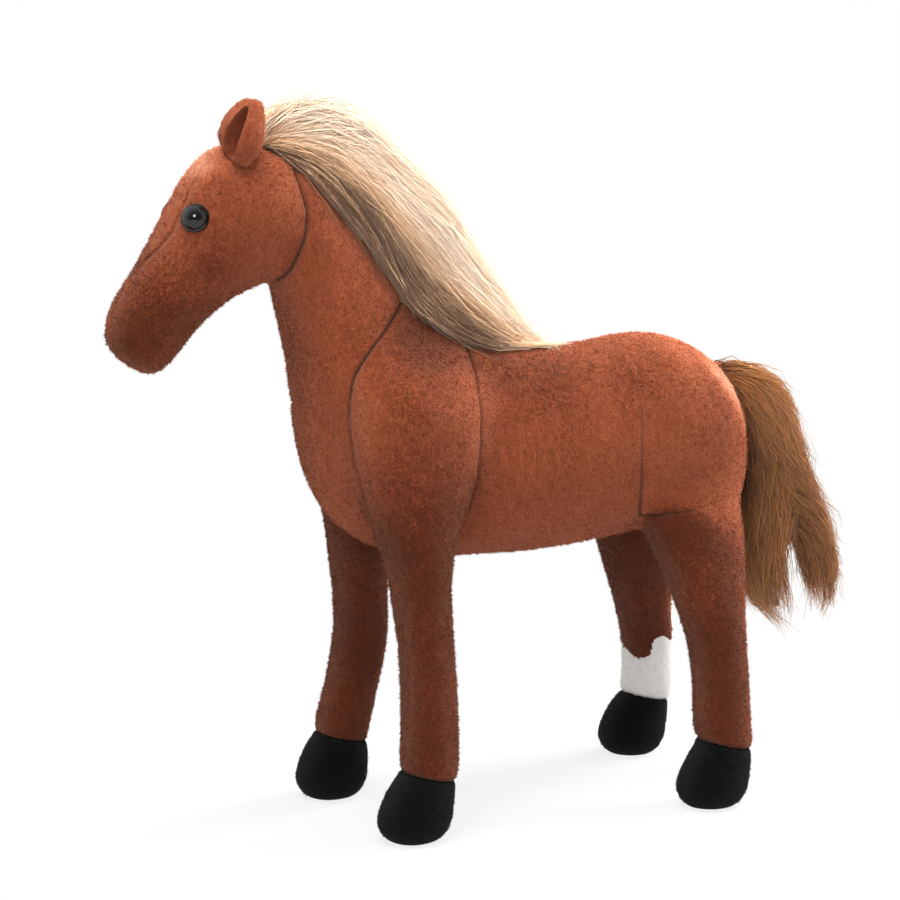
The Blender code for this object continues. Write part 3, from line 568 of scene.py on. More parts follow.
def onSkin(line, spacing=1.0):
    # The photograph's line laid on the skin, point by point, with the share of its length run.
    found = []
    line = [tuple(spot) for spot in curve(line, np.linspace(0, 1, 5 * len(line)))]
    lengths = [math.dist(a, b) for a, b in zip(line, line[1:])]
    total = sum(lengths)
    run = 0.0
    for (x1, y1), (x2, y2), length in zip(line, line[1:], lengths):
        steps = max(int(length / spacing), 1)
        for n in range(steps):
            t = n / steps
            start, way = photoRay(x1 + (x2 - x1) * t, y1 + (y2 - y1) * t)
            hit = skinTree.ray_cast(start, way)[0]
            if hit is not None:
                found.append((hit, (run + length * t) / total))
        run += length
    return found


def mirrored(place):
    return Vector((-place.x, place.y, place.z))


seamPoints = []  # place, strength
for line, startStrength, endStrength in seamsInPhoto.values():
    for place, share in onSkin(line, 0.7):
        if place.x < 0.001:
            continue
        strength = startStrength + (endStrength - startStrength) * share
        seamPoints.append((place, strength))
        seamPoints.append((mirrored(place), strength))
print("seam points", len(seamPoints))


def seamDistance(points, reach):
    # How far the nearest seam is, and how strongly it shows there.
    away = np.full(len(points), reach)
    strength = np.zeros(len(points))
    for i, point in enumerate(points):
        place, n, distance = seamTree.find(Vector(point))
        if distance < reach:
            away[i] = distance
            strength[i] = seamPoints[n][1]
    return away, strength


def refineBySeams(item, reach):
    # Finer faces beside the seams.
    away, _ = seamDistance(coords(item.data), reach)
    rough = bmesh.new()
    rough.from_mesh(item.data)
    rough.verts.ensure_lookup_table()
    near = {v for v in rough.verts if away[v.index] < reach}
    edges = [e for e in rough.edges if e.verts[0] in near and e.verts[1] in near]
    bmesh.ops.subdivide_edges(rough, edges=edges, cuts=1, use_grid_fill=True)
    rough.to_mesh(item.data)
    rough.free()


def hoofPlane(rows):
    foot = rows[-6]
    return np.array((foot[0], (foot[1] + foot[3]) / 2, foot[2])), np.array((0, body["hoofSeamSlope"], 1.0))


# the hoof seams run round the ankles in a plane; the sock's edge is furry and only wants fine faces
formOf = formTable.argmin(1)
for limbName, rows in limbs.items():
    foot, tilt = hoofPlane(rows)
    height = (points - foot) @ tilt
    near = (formOf == fid[limbName]) & (np.abs(height) < 0.0009)
    for point, rise in zip(points[near], height[near]):
        seamPoints.append((Vector(point - tilt * rise / (tilt @ tilt)), 1.0))
sockEdge = [(618, 646), (626, 647.5), (631, 654), (637.5, 658), (644, 658), (650, 655), (652.5, 649), (651, 645),
            (655.5, 638.5), (661, 636), (665, 636), (669.5, 640), (677.5, 639), (690, 640)]
sockX, sockY = zip(*sockEdge)
sockLook = {"rearEdge": 641, "rearPeak": 40, "peakAt": 675, "peakWidth": 15, "fineBeside": 2.0}


def sockShare(points, normals):
    # How far a point lies below the sock's edge, in pixels of the photograph.
    seen = toPhoto(points)
    hidden = rising(normals @ viewAhead, -0.42, -0.05)
    peak = np.exp(-((seen[:, 0] - sockLook["peakAt"]) / sockLook["peakWidth"]) ** 2)
    rear = sockLook["rearEdge"] - sockLook["rearPeak"] * peak
    return seen[:, 1] - (np.interp(seen[:, 0], sockX, sockY) * (1 - hidden) + rear * hidden)


shareBelow = sockShare(points, normalsOf(skin.data))
for point in points[(formOf == fid["hindLegRight"]) & (np.abs(shareBelow) < sockLook["fineBeside"])]:
    seamPoints.append((Vector(point), 0.0))
seamTree = KDTree(len(seamPoints))
for n, (place, strength) in enumerate(seamPoints):
    seamTree.insert(place, n)
seamTree.balance()
refineBySeams(skin, skinLook["seamReach"])


def cutAlong(item, keepIn, place, tilt):
    # A clean edge loop where a plane crosses part of the mesh.
    rough = bmesh.new()
    rough.from_mesh(item.data)
    near = [f for f in rough.faces if keepIn(f.calc_center_median())]
    parts = set(near)
    for face in near:
        parts.update(face.edges)
        parts.update(face.verts)
    bmesh.ops.bisect_plane(rough, geom=list(parts), dist=1e-5, plane_co=place, plane_no=tilt)
    rough.to_mesh(item.data)
    rough.free()


def nearFoot(foot):
    return lambda c: abs(c.z - foot[2]) < 0.012 and abs(c.x - foot[0]) < 0.03 and abs(c.y - foot[1]) < 0.03


for rows in limbs.values():
    foot, tilt = hoofPlane(rows)
    cutAlong(skin, nearFoot(foot), Vector(foot), Vector(tilt))
print("skin with finer seams", len(skin.data.polygons))

points = coords(skin.data)
formOf = nearestForms(points).argmin(1)
photoAt = toPhotoMirrored(points)
away, strength = seamDistance(points, 0.02)
normals = normalsOf(skin.data)

# grooves with a soft dip to both sides, and small puckers across them
groove = skinLook["seamDepth"] * np.exp(-(away / skinLook["seamWidth"]) ** 2)
dip = skinLook["dipDepth"] * np.exp(-(away / skinLook["dipWidth"]) ** 2)
ripple = np.array([noise.noise(Vector(p) * skinLook["puckerWaves"]) for p in points])
pucker = skinLook["puckerDepth"] * 2 * ripple * np.exp(-(away / skinLook["puckerWidth"]) ** 2)
sink = (groove + dip) * np.minimum(strength, 1.2) + pucker * strength
onMidline = np.exp(-(points[:, 0] / skinLook["midlineWidth"]) ** 2)
midline = onMidline * np.clip(-normals[:, 1] * 1.6 - 0.2, 0, 1) * (points[:, 2] < 0.262)
midline = np.maximum(midline, onMidline * np.clip(-normals[:, 2] * 1.5, 0, 1))
sink = np.maximum(sink, midline * skinLook["midlineDepth"])

for line, depth, width in softFolds:
    fold = [place for place, _ in onSkin(line, 2.0)]
    tree = KDTree(len(fold) * 2)
    for n, place in enumerate(fold):
        tree.insert(place, n)
        tree.insert(mirrored(place), n)
    tree.balance()
    sink += np.array([depth * math.exp(-(tree.find(Vector(p))[2] / width) ** 2) for p in points])

# hooves are rounded in towards their soles
for limbName in limbs:
    low = (formOf == fid[limbName]) & (points[:, 2] < skinLook["soleHeight"])
    middle = points[low].mean(0)
    inwards = middle[:2] - points[low][:, :2]
    points[low, :2] += inwards * (skinLook["soleRounding"] * (1 - points[low][:, 2:3] / skinLook["soleHeight"]) ** 2)

# the stuffing's own unevenness
lumps = np.array([sum(noise.noise(Vector(p) * scale) * size for scale, size in skinLook["lumps"]) for p in points])
points = points + normals * (lumps - sink)[:, None]
points[:, 2] = np.maximum(points[:, 2], 0)
setCoords(skin.data, points)
# darker along the seams: a thin dark seam line, and painted shade in and beside the groove from the wider term
clear = np.minimum(strength, 1)
seamLineAndShade = np.exp(-(away / 0.0009) ** 2) * clear * 0.78 + np.exp(-(away / 0.0034) ** 2) * clear * 0.24
seamLineAndShade = np.maximum(seamLineAndShade, midline * 0.7)


def waves(points, length, seed, count=14):
    # A smooth random value of about -1 to 1 for each point, from waves of about one length.
    dice = np.random.default_rng(seed)
    ways = dice.normal(size=(count, 3))
    ways *= (2 * math.pi / length) * dice.uniform(0.6, 1.3, (count, 1)) / np.linalg.norm(ways, axis=1, keepdims=True)
    return np.sin(points @ ways.T + dice.uniform(0, 6.3, count)).sum(1) / math.sqrt(count)


# patches of painted shade, and one of painted light, on the coat: place in the photograph, reach, how much darker
paintedShadeAndLightPatches = [
    ((217, 192), 15, 0.60), ((216, 264), 24, 0.55), ((128, 345), 30, 0.42), ((160, 318), 30, 0.12), ((408, 420), 34, 0.30),
    ((425, 340), 50, 0.95), ((530, 392), 62, 0.36), ((395, 470), 40, 0.12), ((702, 605), 55, -0.24), ((672, 530), 22, 0.16),
]


def napAndPaintedLightOf(points, normals, formIds, photo):
    # Darker on the legs, the muzzle, the lower cheek and the neck's front, partly the nap's own tone and partly painted
    # shade; painted shade on the top of the back and in patches; lighter on the forehead and the croup, a painted
    # highlight.
    isFront = np.isin(formIds, [fid["frontLegLeft"], fid["frontLegRight"]])
    isHind = np.isin(formIds, [fid["hindLegLeft"], fid["hindLegRight"]])
    isHead = formIds == fid["head"]
    z = points[:, 2]
    # painted shade, partly the nap's tone: the front legs darker towards the hooves
    nap = np.where(isFront, rising(z, 0.215, 0.150) * 0.85, 0.0)
    # the hind legs darker below the thigh seam, partly painted shade, and lighter on faces turned to the rear, a
    # painted light
    hindNapAndPaintedLight = rising(photo[:, 1], 500, 526 + 40 * rising(photo[:, 0], 690, 735))
    nap = np.where(isHind, hindNapAndPaintedLight * (1 - 0.35 * rising(normals[:, 1], 0.1, 0.9)), nap)
    # muzzle, lower cheek and neck front darker, partly nap and partly painted shade; the forehead lighter, a painted
    # highlight
    muzzle = rising((photo - np.array((262, 232))) @ np.array((-0.62, 0.78)), 25, 130)
    nap = np.where(isHead, muzzle * 0.50, nap)
    nap = np.where(formIds == fid["neck"], rising(photo[:, 0], 345, 288) * 0.25, nap)
    nap = nap - np.where(isHead, rising(photo[:, 1], 205, 165) * rising(photo[:, 0], 250, 205) * 0.65, 0)
    # painted highlight on the croup's faces turned up and back
    paintedCroupHighlight = rising(normals[:, 2] + normals[:, 1] * 0.9, 0.50, 1.12) * rising(points[:, 1], 0.075, 0.125) * (z > 0.19)
    nap = nap - paintedCroupHighlight * 0.52
    # painted shade on the top of the back
    paintedBackShade = rising(normals[:, 2], 0.3, 0.9) * rising(points[:, 1], 0.100, 0.060)
    nap = nap + np.where(formIds == fid["torso"], paintedBackShade * 0.35, 0)
    # painted shade patches, and one painted light patch on the hind leg
    for spot, reach, more in paintedShadeAndLightPatches:
        nap = nap + more * np.exp(-((photo - np.array(spot)) ** 2).sum(1) / reach ** 2) * (normals[:, 0] ** 2 > 0.1)
    nap = nap + waves(points, 0.038, 3) * 0.10 + waves(points, 0.013, 4) * 0.07
    # brushed tracks on the croup
    u, v = photo.T
    turned = zip((u * 0.78 - v * 0.62) / 8.5, (u * 0.62 + v * 0.78) / 60)
    track = np.array([noise.noise(Vector((across, along, 0))) for across, along in turned])
    croup = rising(photo[:, 0], 560, 640) * rising(photo[:, 1], 520, 430) * ~(isFront | isHead)
    return nap + track * croup * 0.75


# the nap's tone with painted shade and painted highlight, smoothed and kept on each vertex for the materials
nap = napAndPaintedLightOf(points, normals, formOf, photoAt)
nap = relaxed(np.repeat(nap[:, None], 3, 1), edgesOf(skin.data), 30, np.full(len(nap), 0.5))[:, 0]
setValues(skin.data, "seam", np.clip(seamLineAndShade, 0, 1))
setValues(skin.data, "nap", nap)


def insideOf(polygon, places):
    # Which places lie inside a polygon of the photograph.
    inside = np.zeros(len(places), bool)
    x, y = places[:, 0], places[:, 1]
    for (x1, y1), (x2, y2) in zip(polygon, polygon[1:] + polygon[:1]):
        if y1 == y2:
            continue
        crossing = (y1 > y) != (y2 > y)
        inside ^= crossing & (x < (x2 - x1) * (y - y1) / (y2 - y1) + x1)
    return inside


# which panel each face belongs to
panelNames = ["cheekLeft", "cheekRight", "foreheadGusset", "neckCover", "barrelCover", "rumpCover",
              "frontLegLeft", "frontLegRight", "hindLegLeft", "hindLegRight",
              "hoofFrontLeft", "hoofFrontRight", "hoofHindLeft", "hoofHindRight", "sockHindRight"]
panelIndex = {name: n for n, name in enumerate(panelNames)}
headArea = [(60, 60), (300, 60), (288, 150), (297, 172), (307, 205), (308, 220), (305, 240), (295, 262), (286, 275),
            (272, 285), (262, 310), (262, 420), (60, 420)]
shoulderArea = [(409, 240), (409, 280), (401, 306), (388, 328), (370, 352), (354, 378), (348, 410), (349, 440),
                (356, 474), (366, 506), (376, 540), (382, 558), (454, 556), (460, 530), (472, 502), (480, 470),
                (483, 430), (481, 400), (474, 362), (460, 330), (446, 300), (430, 240)]
thighLine = [(560, 530), (640, 517), (660, 515), (680, 513), (695, 510), (708, 505), (725, 499), (745, 494), (800, 490)]
gussetEdge = [(109, 330), (111, 314), (115, 302), (127, 280), (145, 260), (160, 245), (172, 230), (181, 208), (190, 188),
              (202, 168), (212, 158)]

centres = readAll(skin.data.polygons, "center", 3)
faceNormals = readAll(skin.data.polygons, "normal", 3)
firstCorner = readAll(skin.data.polygons, "loop_start", 1, int)
faceForm = formOf[readAll(skin.data.loops, "vertex_index", 1, int)[firstCorner]]
facePhoto = toPhotoMirrored(centres)
inHead = insideOf(headArea, facePhoto) & (centres[:, 2] > 0.22)
inShoulder = insideOf(shoulderArea, facePhoto) & (np.abs(centres[:, 0]) > 0.012) & (centres[:, 2] > 0.13)
flankPlace = torsoPlace(body["flankAlong"], 0)[0]
panel = np.full(len(centres), -1)
trunk = np.isin(faceForm, [fid[name] for name in ("torso", "neck", "head")])
seamLow, seamHigh = (np.array(torsoPlace(*share)) for share in ((0, 0), (0.110, 1.225)))
seamRun, fromSeam = seamHigh - seamLow, centres[:, 1:] - seamLow
aheadOfSeam = fromSeam[:, 0] * seamRun[1] < fromSeam[:, 1] * seamRun[0]
panel[trunk & aheadOfSeam] = panelIndex["neckCover"]
panel[trunk & ~aheadOfSeam & (centres[:, 1] < flankPlace)] = panelIndex["barrelCover"]
panel[trunk & (centres[:, 1] >= flankPlace)] = panelIndex["rumpCover"]
for limbName in limbs:
    panel[faceForm == fid[limbName]] = panelIndex[limbName]
thighX, thighY = zip(*thighLine)
aboveThigh = facePhoto[:, 1] < np.interp(facePhoto[:, 0], thighX, thighY)
outerSide = np.abs(centres[:, 0]) > 0.030
for limbName, side in (("frontLegLeft", 1), ("frontLegRight", -1)):
    mine = faceForm == fid[limbName]
    loose = mine & ~inShoulder & (centres[:, 2] > 0.165)
    panel[loose & aheadOfSeam] = panelIndex["neckCover"]
    panel[loose & ~aheadOfSeam] = panelIndex["barrelCover"]
    panel[inShoulder & (centres[:, 0] * side > 0)] = panelIndex[limbName]
for limbName, side in (("hindLegLeft", 1), ("hindLegRight", -1)):
    mine = faceForm == fid[limbName]
    panel[mine & aboveThigh & outerSide & (centres[:, 2] > 0.13)] = panelIndex["rumpCover"]
    below = (faceForm == fid["torso"]) & ~aboveThigh & outerSide & (centres[:, 1] > flankPlace)
    panel[below & (centres[:, 0] * side > 0)] = panelIndex[limbName]
panel[inHead] = np.where(centres[inHead, 0] > 0, panelIndex["cheekLeft"], panelIndex["cheekRight"])
gussetY, gussetX = zip(*sorted((place.y, place.x) for place, _ in onSkin(gussetEdge) if place.x > 0))
inGusset = inHead & (np.abs(centres[:, 0]) < np.interp(centres[:, 1], gussetY, gussetX))
inGusset &= faceNormals[:, 2] - faceNormals[:, 1] * 0.8 > 0.1
inGusset &= (centres[:, 1] > gussetY[0] - 0.004) & (centres[:, 1] < gussetY[-1])
panel[inGusset] = panelIndex["foreheadGusset"]
for limbName, hoofName in (("frontLegLeft", "hoofFrontLeft"), ("frontLegRight", "hoofFrontRight"),
                           ("hindLegLeft", "hoofHindLeft"), ("hindLegRight", "hoofHindRight")):
    foot, tilt = hoofPlane(limbs[limbName])
    under = (centres - foot) @ tilt < 0
    panel[(faceForm == fid[limbName]) & under] = panelIndex[hoofName]
    if limbName == "hindLegRight":
        inSock = sockShare(centres, faceNormals) > 0
        panel[(faceForm == fid[limbName]) & ~under & inSock] = panelIndex["sockHindRight"]
print("panels", [int((panel == n).sum()) for n in range(len(panelNames))], int((panel < 0).sum()))


def panelPiece(name, looks, thickness):
    # The panel's faces as a sewn shell of cloth, with its thickness inwards.
    rough = bmesh.new()
    rough.from_mesh(skin.data)
    rough.faces.ensure_lookup_table()
    others = [face for face, n in zip(rough.faces, panel) if n != panelIndex[name]]
    bmesh.ops.delete(rough, geom=others, context="FACES")
    mesh = bpy.data.meshes.new(name)
    rough.to_mesh(mesh)
    rough.free()
    item = placed(name, mesh)
    mesh.materials.append(looks)
    fur = furOn(name, mesh, furLooks[name])
    shell = item.modifiers.new("cloth", "SOLIDIFY")
    shell.thickness = thickness
    shell.offset = -1
    shell.use_even_offset = False
    applyModifier(item, "cloth")
    mesh.shade_smooth()
    return item, fur


# short pile: a leaning tuft of three faces and a foot for each place
pileLook = {
    "perSquareMillimetre": 0.95, "length": 0.0014, "halfWidth": 0.00024, "lean": 48, "leanSpread": 13, "sunk": 0.0003,
    "tuft": 0.00035, "swirl": 0.030, "lowest": 0.0022, "bareBesideSeams": 0.24,
}


def bakePlaces(count):
    # The lowest corner of each strand's own cell of the square bake map, and the cell's side.
    columns = int(math.ceil(math.sqrt(count)))
    cell = 1 / columns
    index = np.arange(count)
    return np.stack((index % columns, index // columns), 1) * cell, cell


def setBakeMap(mesh, places):
    mesh.uv_layers.new(name="OFBake").data.foreach_set("uv", places.astype(np.float32).ravel())


def threads(name, material, verts, corners, starts):
    # Many small shapes in one mesh, from flat lists of their places, corners and first corners.
    mesh = bpy.data.meshes.new(name)
    mesh.vertices.add(verts.size // 3)
    mesh.vertices.foreach_set("co", verts.ravel())
    mesh.loops.add(len(corners))
    mesh.loops.foreach_set("vertex_index", corners)
    mesh.polygons.add(len(starts))
    mesh.polygons.foreach_set("loop_start", starts)
    mesh.update(calc_edges=True)
    mesh.materials.append(material)
    return placed(name, mesh)


def furOn(name, mesh, look):
    material, share, longer = look
    dice = np.random.default_rng(len(name) * 7 + panelIndex.get(name, 20))
    mesh.calc_loop_triangles()
    corners = readAll(mesh.loop_triangles, "vertices", 3, np.int32)
    at, facing = coords(mesh), normalsOf(mesh)
    first, second, third = (at[corners[:, n]] for n in range(3))
    areas = np.linalg.norm(np.cross(second - first, third - first), axis=1) / 2
    count = int(areas.sum() * 1e6 * pileLook["perSquareMillimetre"] * share)
    pick = dice.choice(len(areas), count, p=areas / areas.sum())
    a, b = dice.random(count), dice.random(count)
    flip = a + b > 1
    a, b = np.where(flip, 1 - a, a), np.where(flip, 1 - b, b)
    weights = np.stack((1 - a - b, a, b), 1)[:, :, None]
    root = (at[corners[pick]] * weights).sum(1)
    normal = (facing[corners[pick]] * weights).sum(1)
    normal /= np.linalg.norm(normal, axis=1, keepdims=True)
    onVerts = [readAll(mesh.attributes[word].data, "value", 1, np.float32) for word in ("seam", "nap")]
    seam, nap = [(values[corners[pick]][:, :, None] * weights).sum(1)[:, 0] for values in onVerts]
    keep = (seam < pileLook["bareBesideSeams"]) & (root[:, 2] > pileLook["lowest"])
    root, normal, nap, seam = root[keep], normal[keep], nap[keep], seam[keep]
    count = len(root)
    flow = np.array((0, 0.75, -0.65)) + np.stack([waves(root, pileLook["swirl"], 40 + k) for k in range(3)], 1) * 0.55
    flow += dice.normal(0, 0.45, (count, 3))
    flow -= normal * (flow * normal).sum(1, keepdims=True)
    flow /= np.linalg.norm(flow, axis=1, keepdims=True)
    lean = pileLook["lean"] + dice.normal(0, pileLook["leanSpread"], count) + waves(root, 0.005, 50) * 9
    lean = np.radians(np.clip(lean, 5, 78))[:, None]
    way = normal * np.cos(lean) + flow * np.sin(lean)
    tuft = np.stack([waves(root, 0.0032, 60 + k) for k in range(3)], 1) * pileLook["tuft"]
    length = pileLook["length"] * longer * (dice.uniform(0.65, 1.25, count) * (1 - 2.2 * seam))[:, None]
    tip = root + way * length + tuft
    side = np.cross(way, normal + dice.normal(0, 0.2, (count, 3)))
    side /= np.linalg.norm(side, axis=1, keepdims=True) + 1e-9
    other = np.cross(way, side)
    foot = root - normal * pileLook["sunk"]
    verts = np.empty((count, 4, 3))
    width = pileLook["halfWidth"] * dice.uniform(0.8, 1.25, count)[:, None]
    for n in range(3):
        angle = 2 * math.pi * n / 3
        verts[:, n] = foot + (side * math.cos(angle) + other * math.sin(angle)) * width
    verts[:, 3] = tip
    verts[:, :, 2] = np.maximum(verts[:, :, 2], 0.0002)
    start = np.arange(count)[:, None] * 4
    faces = np.concatenate([start + np.array(face) for face in ((0, 1, 3), (1, 2, 3), (2, 0, 3), (2, 1, 0))], 1)
    corners = faces.ravel().astype(np.int32)
    fur = threads(name + "Pile", material, verts, corners, np.arange(len(corners) // 3, dtype=np.int32) * 3)
    own = np.repeat(np.clip(dice.normal(0.5, 0.2, count), 0, 1), 4)
    setValues(fur.data, "run", np.tile((0.0, 0.0, 0.0, 1.0), count))
    setValues(fur.data, "tone", own)
    # the pile carries the same nap value, with its painted shade and painted highlight
    setValues(fur.data, "nap", np.repeat(nap, 4))
    setValues(fur.data, "seam", np.zeros(count * 4))
    low, cell = bakePlaces(count)
    spots = np.array(((0.1, 0.2), (0.36, 0.2), (0.24, 0.9), (0.36, 0.2), (0.62, 0.2), (0.5, 0.9), (0.62, 0.2), (0.88, 0.2),
                      (0.76, 0.9), (0.3, 0.15), (0.7, 0.15), (0.5, 0.05)))
    setBakeMap(fur.data, low[:, None, :] + cell * spots[None])
    fur.data.shade_smooth()
    return fur


coatColour = {
    "light": srgb(186, 102, 68), "middle": srgb(137, 64, 36), "dark": srgb(78, 33, 16), "thread": srgb(206, 128, 92),
    "seam": srgb(58, 22, 12), "paintedHighlight": srgb(244, 190, 162),
}
velourColour = {
    "light": srgb(26, 26, 28), "middle": srgb(8, 8, 9), "dark": srgb(4, 4, 5), "thread": srgb(20, 20, 22),
    "seam": srgb(2, 2, 2), "paintedHighlight": srgb(20, 20, 20),
}
sockColour = {
    "light": srgb(244, 242, 239), "middle": srgb(230, 226, 222), "dark": srgb(206, 200, 194), "thread": srgb(252, 251, 250),
    "seam": srgb(150, 142, 136), "paintedHighlight": srgb(250, 250, 250),
}


def coatMaterial(name, colours, deeper=0.0, pile=False, napAndPaintedLightShare=0.80, sheen=0.19, tint=(1.0, 0.70, 0.52, 1)):
    paint = Paint(name, {
        "Roughness": 0.85, "Sheen Weight": sheen, "Sheen Roughness": 0.35, "Sheen Tint": tint, "Specular IOR Level": 0.12,
    })
    seam, nap = paint.attribute("seam"), paint.attribute("nap")
    curls = paint.grain(900, 2, 0.8, 0.6)
    flecks = paint.grain(330, 2, 0.8, 0.5)
    strands = 1 - abs(paint.grain(820, 2, 3.2) - 0.5) * 7
    # the nap value darkens the tone: the nap's own tone with painted shade
    tone = (curls - 0.5) * 1.25 + (flecks - 0.5) * 0.6 + 0.54 - nap * napAndPaintedLightShare - deeper
    if pile:
        run, own = paint.attribute("run"), paint.attribute("tone")
        tone = tone + (own - 0.5) * 1.1 + (run - 0.45) * 0.7
    colour = paint.mixed(paint.between(tone, -0.42, 0.5), colours["dark"], colours["middle"])
    colour = paint.mixed(paint.between(tone, 0.45, 1.15), colour, colours["light"])
    # painted highlight: the pale colour where the nap value is lowest, on the croup and the forehead
    colour = paint.mixed(paint.between(nap, -0.25, -1.3, 0, 0.8), colour, colours["paintedHighlight"])
    if pile:
        return paint.finish(colour)
    bright = paint.between(strands, 0.35, 1.0, 0, 0.35) * paint.between(tone, -0.2, 0.6, 0.2, 1.0)
    colour = paint.mixed(bright, colour, colours["thread"])
    # darker at the seams: the dark seam line, with painted shade in its groove
    colour = paint.mixed(seam * 0.85, colour, colours["seam"])
    height = curls * 0.7 + paint.between(strands, 0.0, 1.0) * 0.4
    return paint.finish(colour, (height, 0.7, 0.0011))


coat = coatMaterial("chestnutPlush", coatColour, 0.12)
coatPile = coatMaterial("chestnutPile", coatColour, -0.02, True)
plainPile = {"napAndPaintedLightShare": 0.0, "sheen": 0.03, "tint": (1, 1, 1, 1)}
velour = coatMaterial("blackVelour", velourColour, 0.1, **plainPile)
velourPile = coatMaterial("blackVelourPile", velourColour, 0.05, True, **plainPile)
sockPlush = coatMaterial("whitePlush", sockColour, -0.3, **plainPile)
sockPile = coatMaterial("whitePile", sockColour, -0.4, True, **plainPile)
clothes = {name: coat for name in panelNames}
furLooks = {name: (coatPile, 1.0, 1.0) for name in panelNames}  # material, share of places, share of length
for name in panelNames:
    if name.startswith("hoof"):
        clothes[name] = velour
        furLooks[name] = (velourPile, 0.9, 0.55)
clothes["sockHindRight"] = sockPlush
furLooks["sockHindRight"] = (sockPile, 1.0, 0.8)
replacedNodes = {
    "foreheadGusset": ("forehead_gusset",), "cheekLeft": ("cheek_left", "head_filling"), "cheekRight": ("cheek_right",),
    "neckCover": ("neck_cover", "neck_filling"), "barrelCover": ("barrel_cover", "torso_filling"),
    "rumpCover": ("rump_cover",), "sockHindRight": ("hind_leg_right_sock",),
}
for end in ("Front", "Hind"):
    for side in ("Left", "Right"):
        limb = end.lower() + "_leg_" + side.lower()
        replacedNodes[end.lower() + "Leg" + side] = (limb + "_cover", limb + "_filling")
        replacedNodes["hoof" + end + side] = (limb + "_hoof", limb + "_sole_plate")
pieces = {}
for name in panelNames:
    piece, fur = panelPiece(name, clothes[name], skinLook["clothThickness"])
    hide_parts(*replacedNodes.get(name, ()))
    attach(piece, "horse")
    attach(fur, "horse")
    pieces[name] = (len(piece.data.polygons), len(fur.data.polygons))
coatTree = treeOf(skin)
bpy.data.objects.remove(skin)
print("panel pieces", pieces)

# ears: a leaf of cloth folded to a cup, with a rolled edge and a darker lining
earLook = {
    "height": 0.0325, "halfWidth": 0.0122, "halfDepth": 0.0112, "lean": 14, "backLean": {"Left": 6, "Right": 13},
    "turn": 10, "voxel": 0.00055, "liningReach": 0.0007, "bendFrom": -0.001, "bendTo": 0.007,
    "rows": [(-0.15, 0.15, -0.06, 0.50), (-0.42, 0.42, 0.03, 0.80), (-0.78, 0.78, 0.19, 1.00), (-0.90, 0.95, 0.42, 1.04),
             (-0.62, 0.90, 0.68, 0.82), (-0.20, 0.75, 0.88, 0.50), (0.15, 0.60, 1.00, 0.22)],
    "scoop": [(-2.2, -0.30, 0.01, 0.22), (-2.2, 0.05, 0.13, 0.40), (-2.2, 0.22, 0.34, 0.50), (-2.2, 0.24, 0.58, 0.46),
              (-2.2, 0.14, 0.80, 0.30), (-2.2, -0.1, 0.94, 0.10)],
    "scoopTurn": 46, "scoopShift": 0.0002, "scoopSlant": 0.46, "scoopTilt": 0.085, "lumps": (130, 0.0004),
    "hinges": {"Left": (0.01429, -0.14557, 0.34787), "Right": (-0.01432, -0.13884, 0.34864)},
}


def makeEar(sideName, side, values):
    def rowsOf(shares):
        depth, height, width = values["halfDepth"], values["height"], values["halfWidth"]
        return [(0, a * depth, up * height, b * depth, up * height, wide * width, 0, 0) for a, b, up, wide in shares]

    ear = loft("ear" + sideName, rowsOf(values["rows"]), 6, 4)
    scoop = loft("scoop" + sideName, rowsOf(values["scoop"]), 6, 4)
    shift = values["scoopShift"] - 0.5 * values["scoopTilt"] * values["height"]
    slant = Matrix(((1, side * values["scoopSlant"], side * values["scoopTilt"], side * shift),
                    (0, 1, 0, 0), (0, 0, 1, 0), (0, 0, 0, 1)))
    scoop.data.transform(Matrix.Rotation(side * math.radians(values["scoopTurn"]), 4, "Z") @ slant)
    inner = treeOf(scoop)
    hollow = ear.modifiers.new("hollow", "BOOLEAN")
    hollow.operation = "DIFFERENCE"
    hollow.solver = "EXACT"
    hollow.object = scoop
    applyModifier(ear, "hollow")
    bpy.data.objects.remove(scoop)
    ear.data.remesh_voxel_size = values["voxel"]
    bpy.ops.object.voxel_remesh()
    points = coords(ear.data)
    points = relaxed(points, edgesOf(ear.data), 14, np.full(len(points), 0.5))
    inside = distances(points, inner, 0.02) < values["liningReach"]
    points = relaxed(points, edgesOf(ear.data), 6, np.full(len(points), 0.5))
    lumpScale, lumpSize = values["lumps"]
    points += normalsOf(ear.data) * np.array([noise.noise(Vector(p) * lumpScale) * lumpSize for p in points])[:, None]
    setCoords(ear.data, points)
    lining = [int(all(inside[v] for v in polygon.vertices)) for polygon in ear.data.polygons]
    ear.data.materials.append(coat)
    ear.data.materials.append(liningPlush)
    ear.data.polygons.foreach_set("material_index", lining)
    angles = (values["lean"], values["backLean"][sideName], values["turn"])
    lean, backLean, turn = (math.radians(angle) for angle in angles)
    up = Vector((side * math.sin(lean), math.sin(backLean), math.cos(lean))).normalized()
    opening = Vector((side * math.sin(turn), -math.cos(turn), 0))
    across = up.cross(opening).normalized()
    back = up.cross(across).normalized()
    if back.y < 0:
        back = -back
    across = back.cross(up).normalized()
    hinge = Vector(values["hinges"][sideName])
    place = Matrix.Translation(hinge) @ Matrix((across, back, up)).transposed().to_4x4()
    ear.data.transform(place)
    for word in ("seam", "nap"):
        setValues(ear.data, word, np.zeros(len(ear.data.vertices)))
    outside = ear.data.copy()
    rough = bmesh.new()
    rough.from_mesh(outside)
    bmesh.ops.delete(rough, geom=[f for f in rough.faces if f.material_index == 1], context="FACES")
    rough.to_mesh(outside)
    rough.free()
    earFur = furOn("ear" + sideName, outside, (coatPile, 1.0, 0.8))
    bpy.data.meshes.remove(outside)
    ear.data.shade_smooth()
    for cloth in (earFur, ear):
        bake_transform(cloth)
    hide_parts("ear_" + sideName.lower(), "ear_lining_" + sideName.lower())


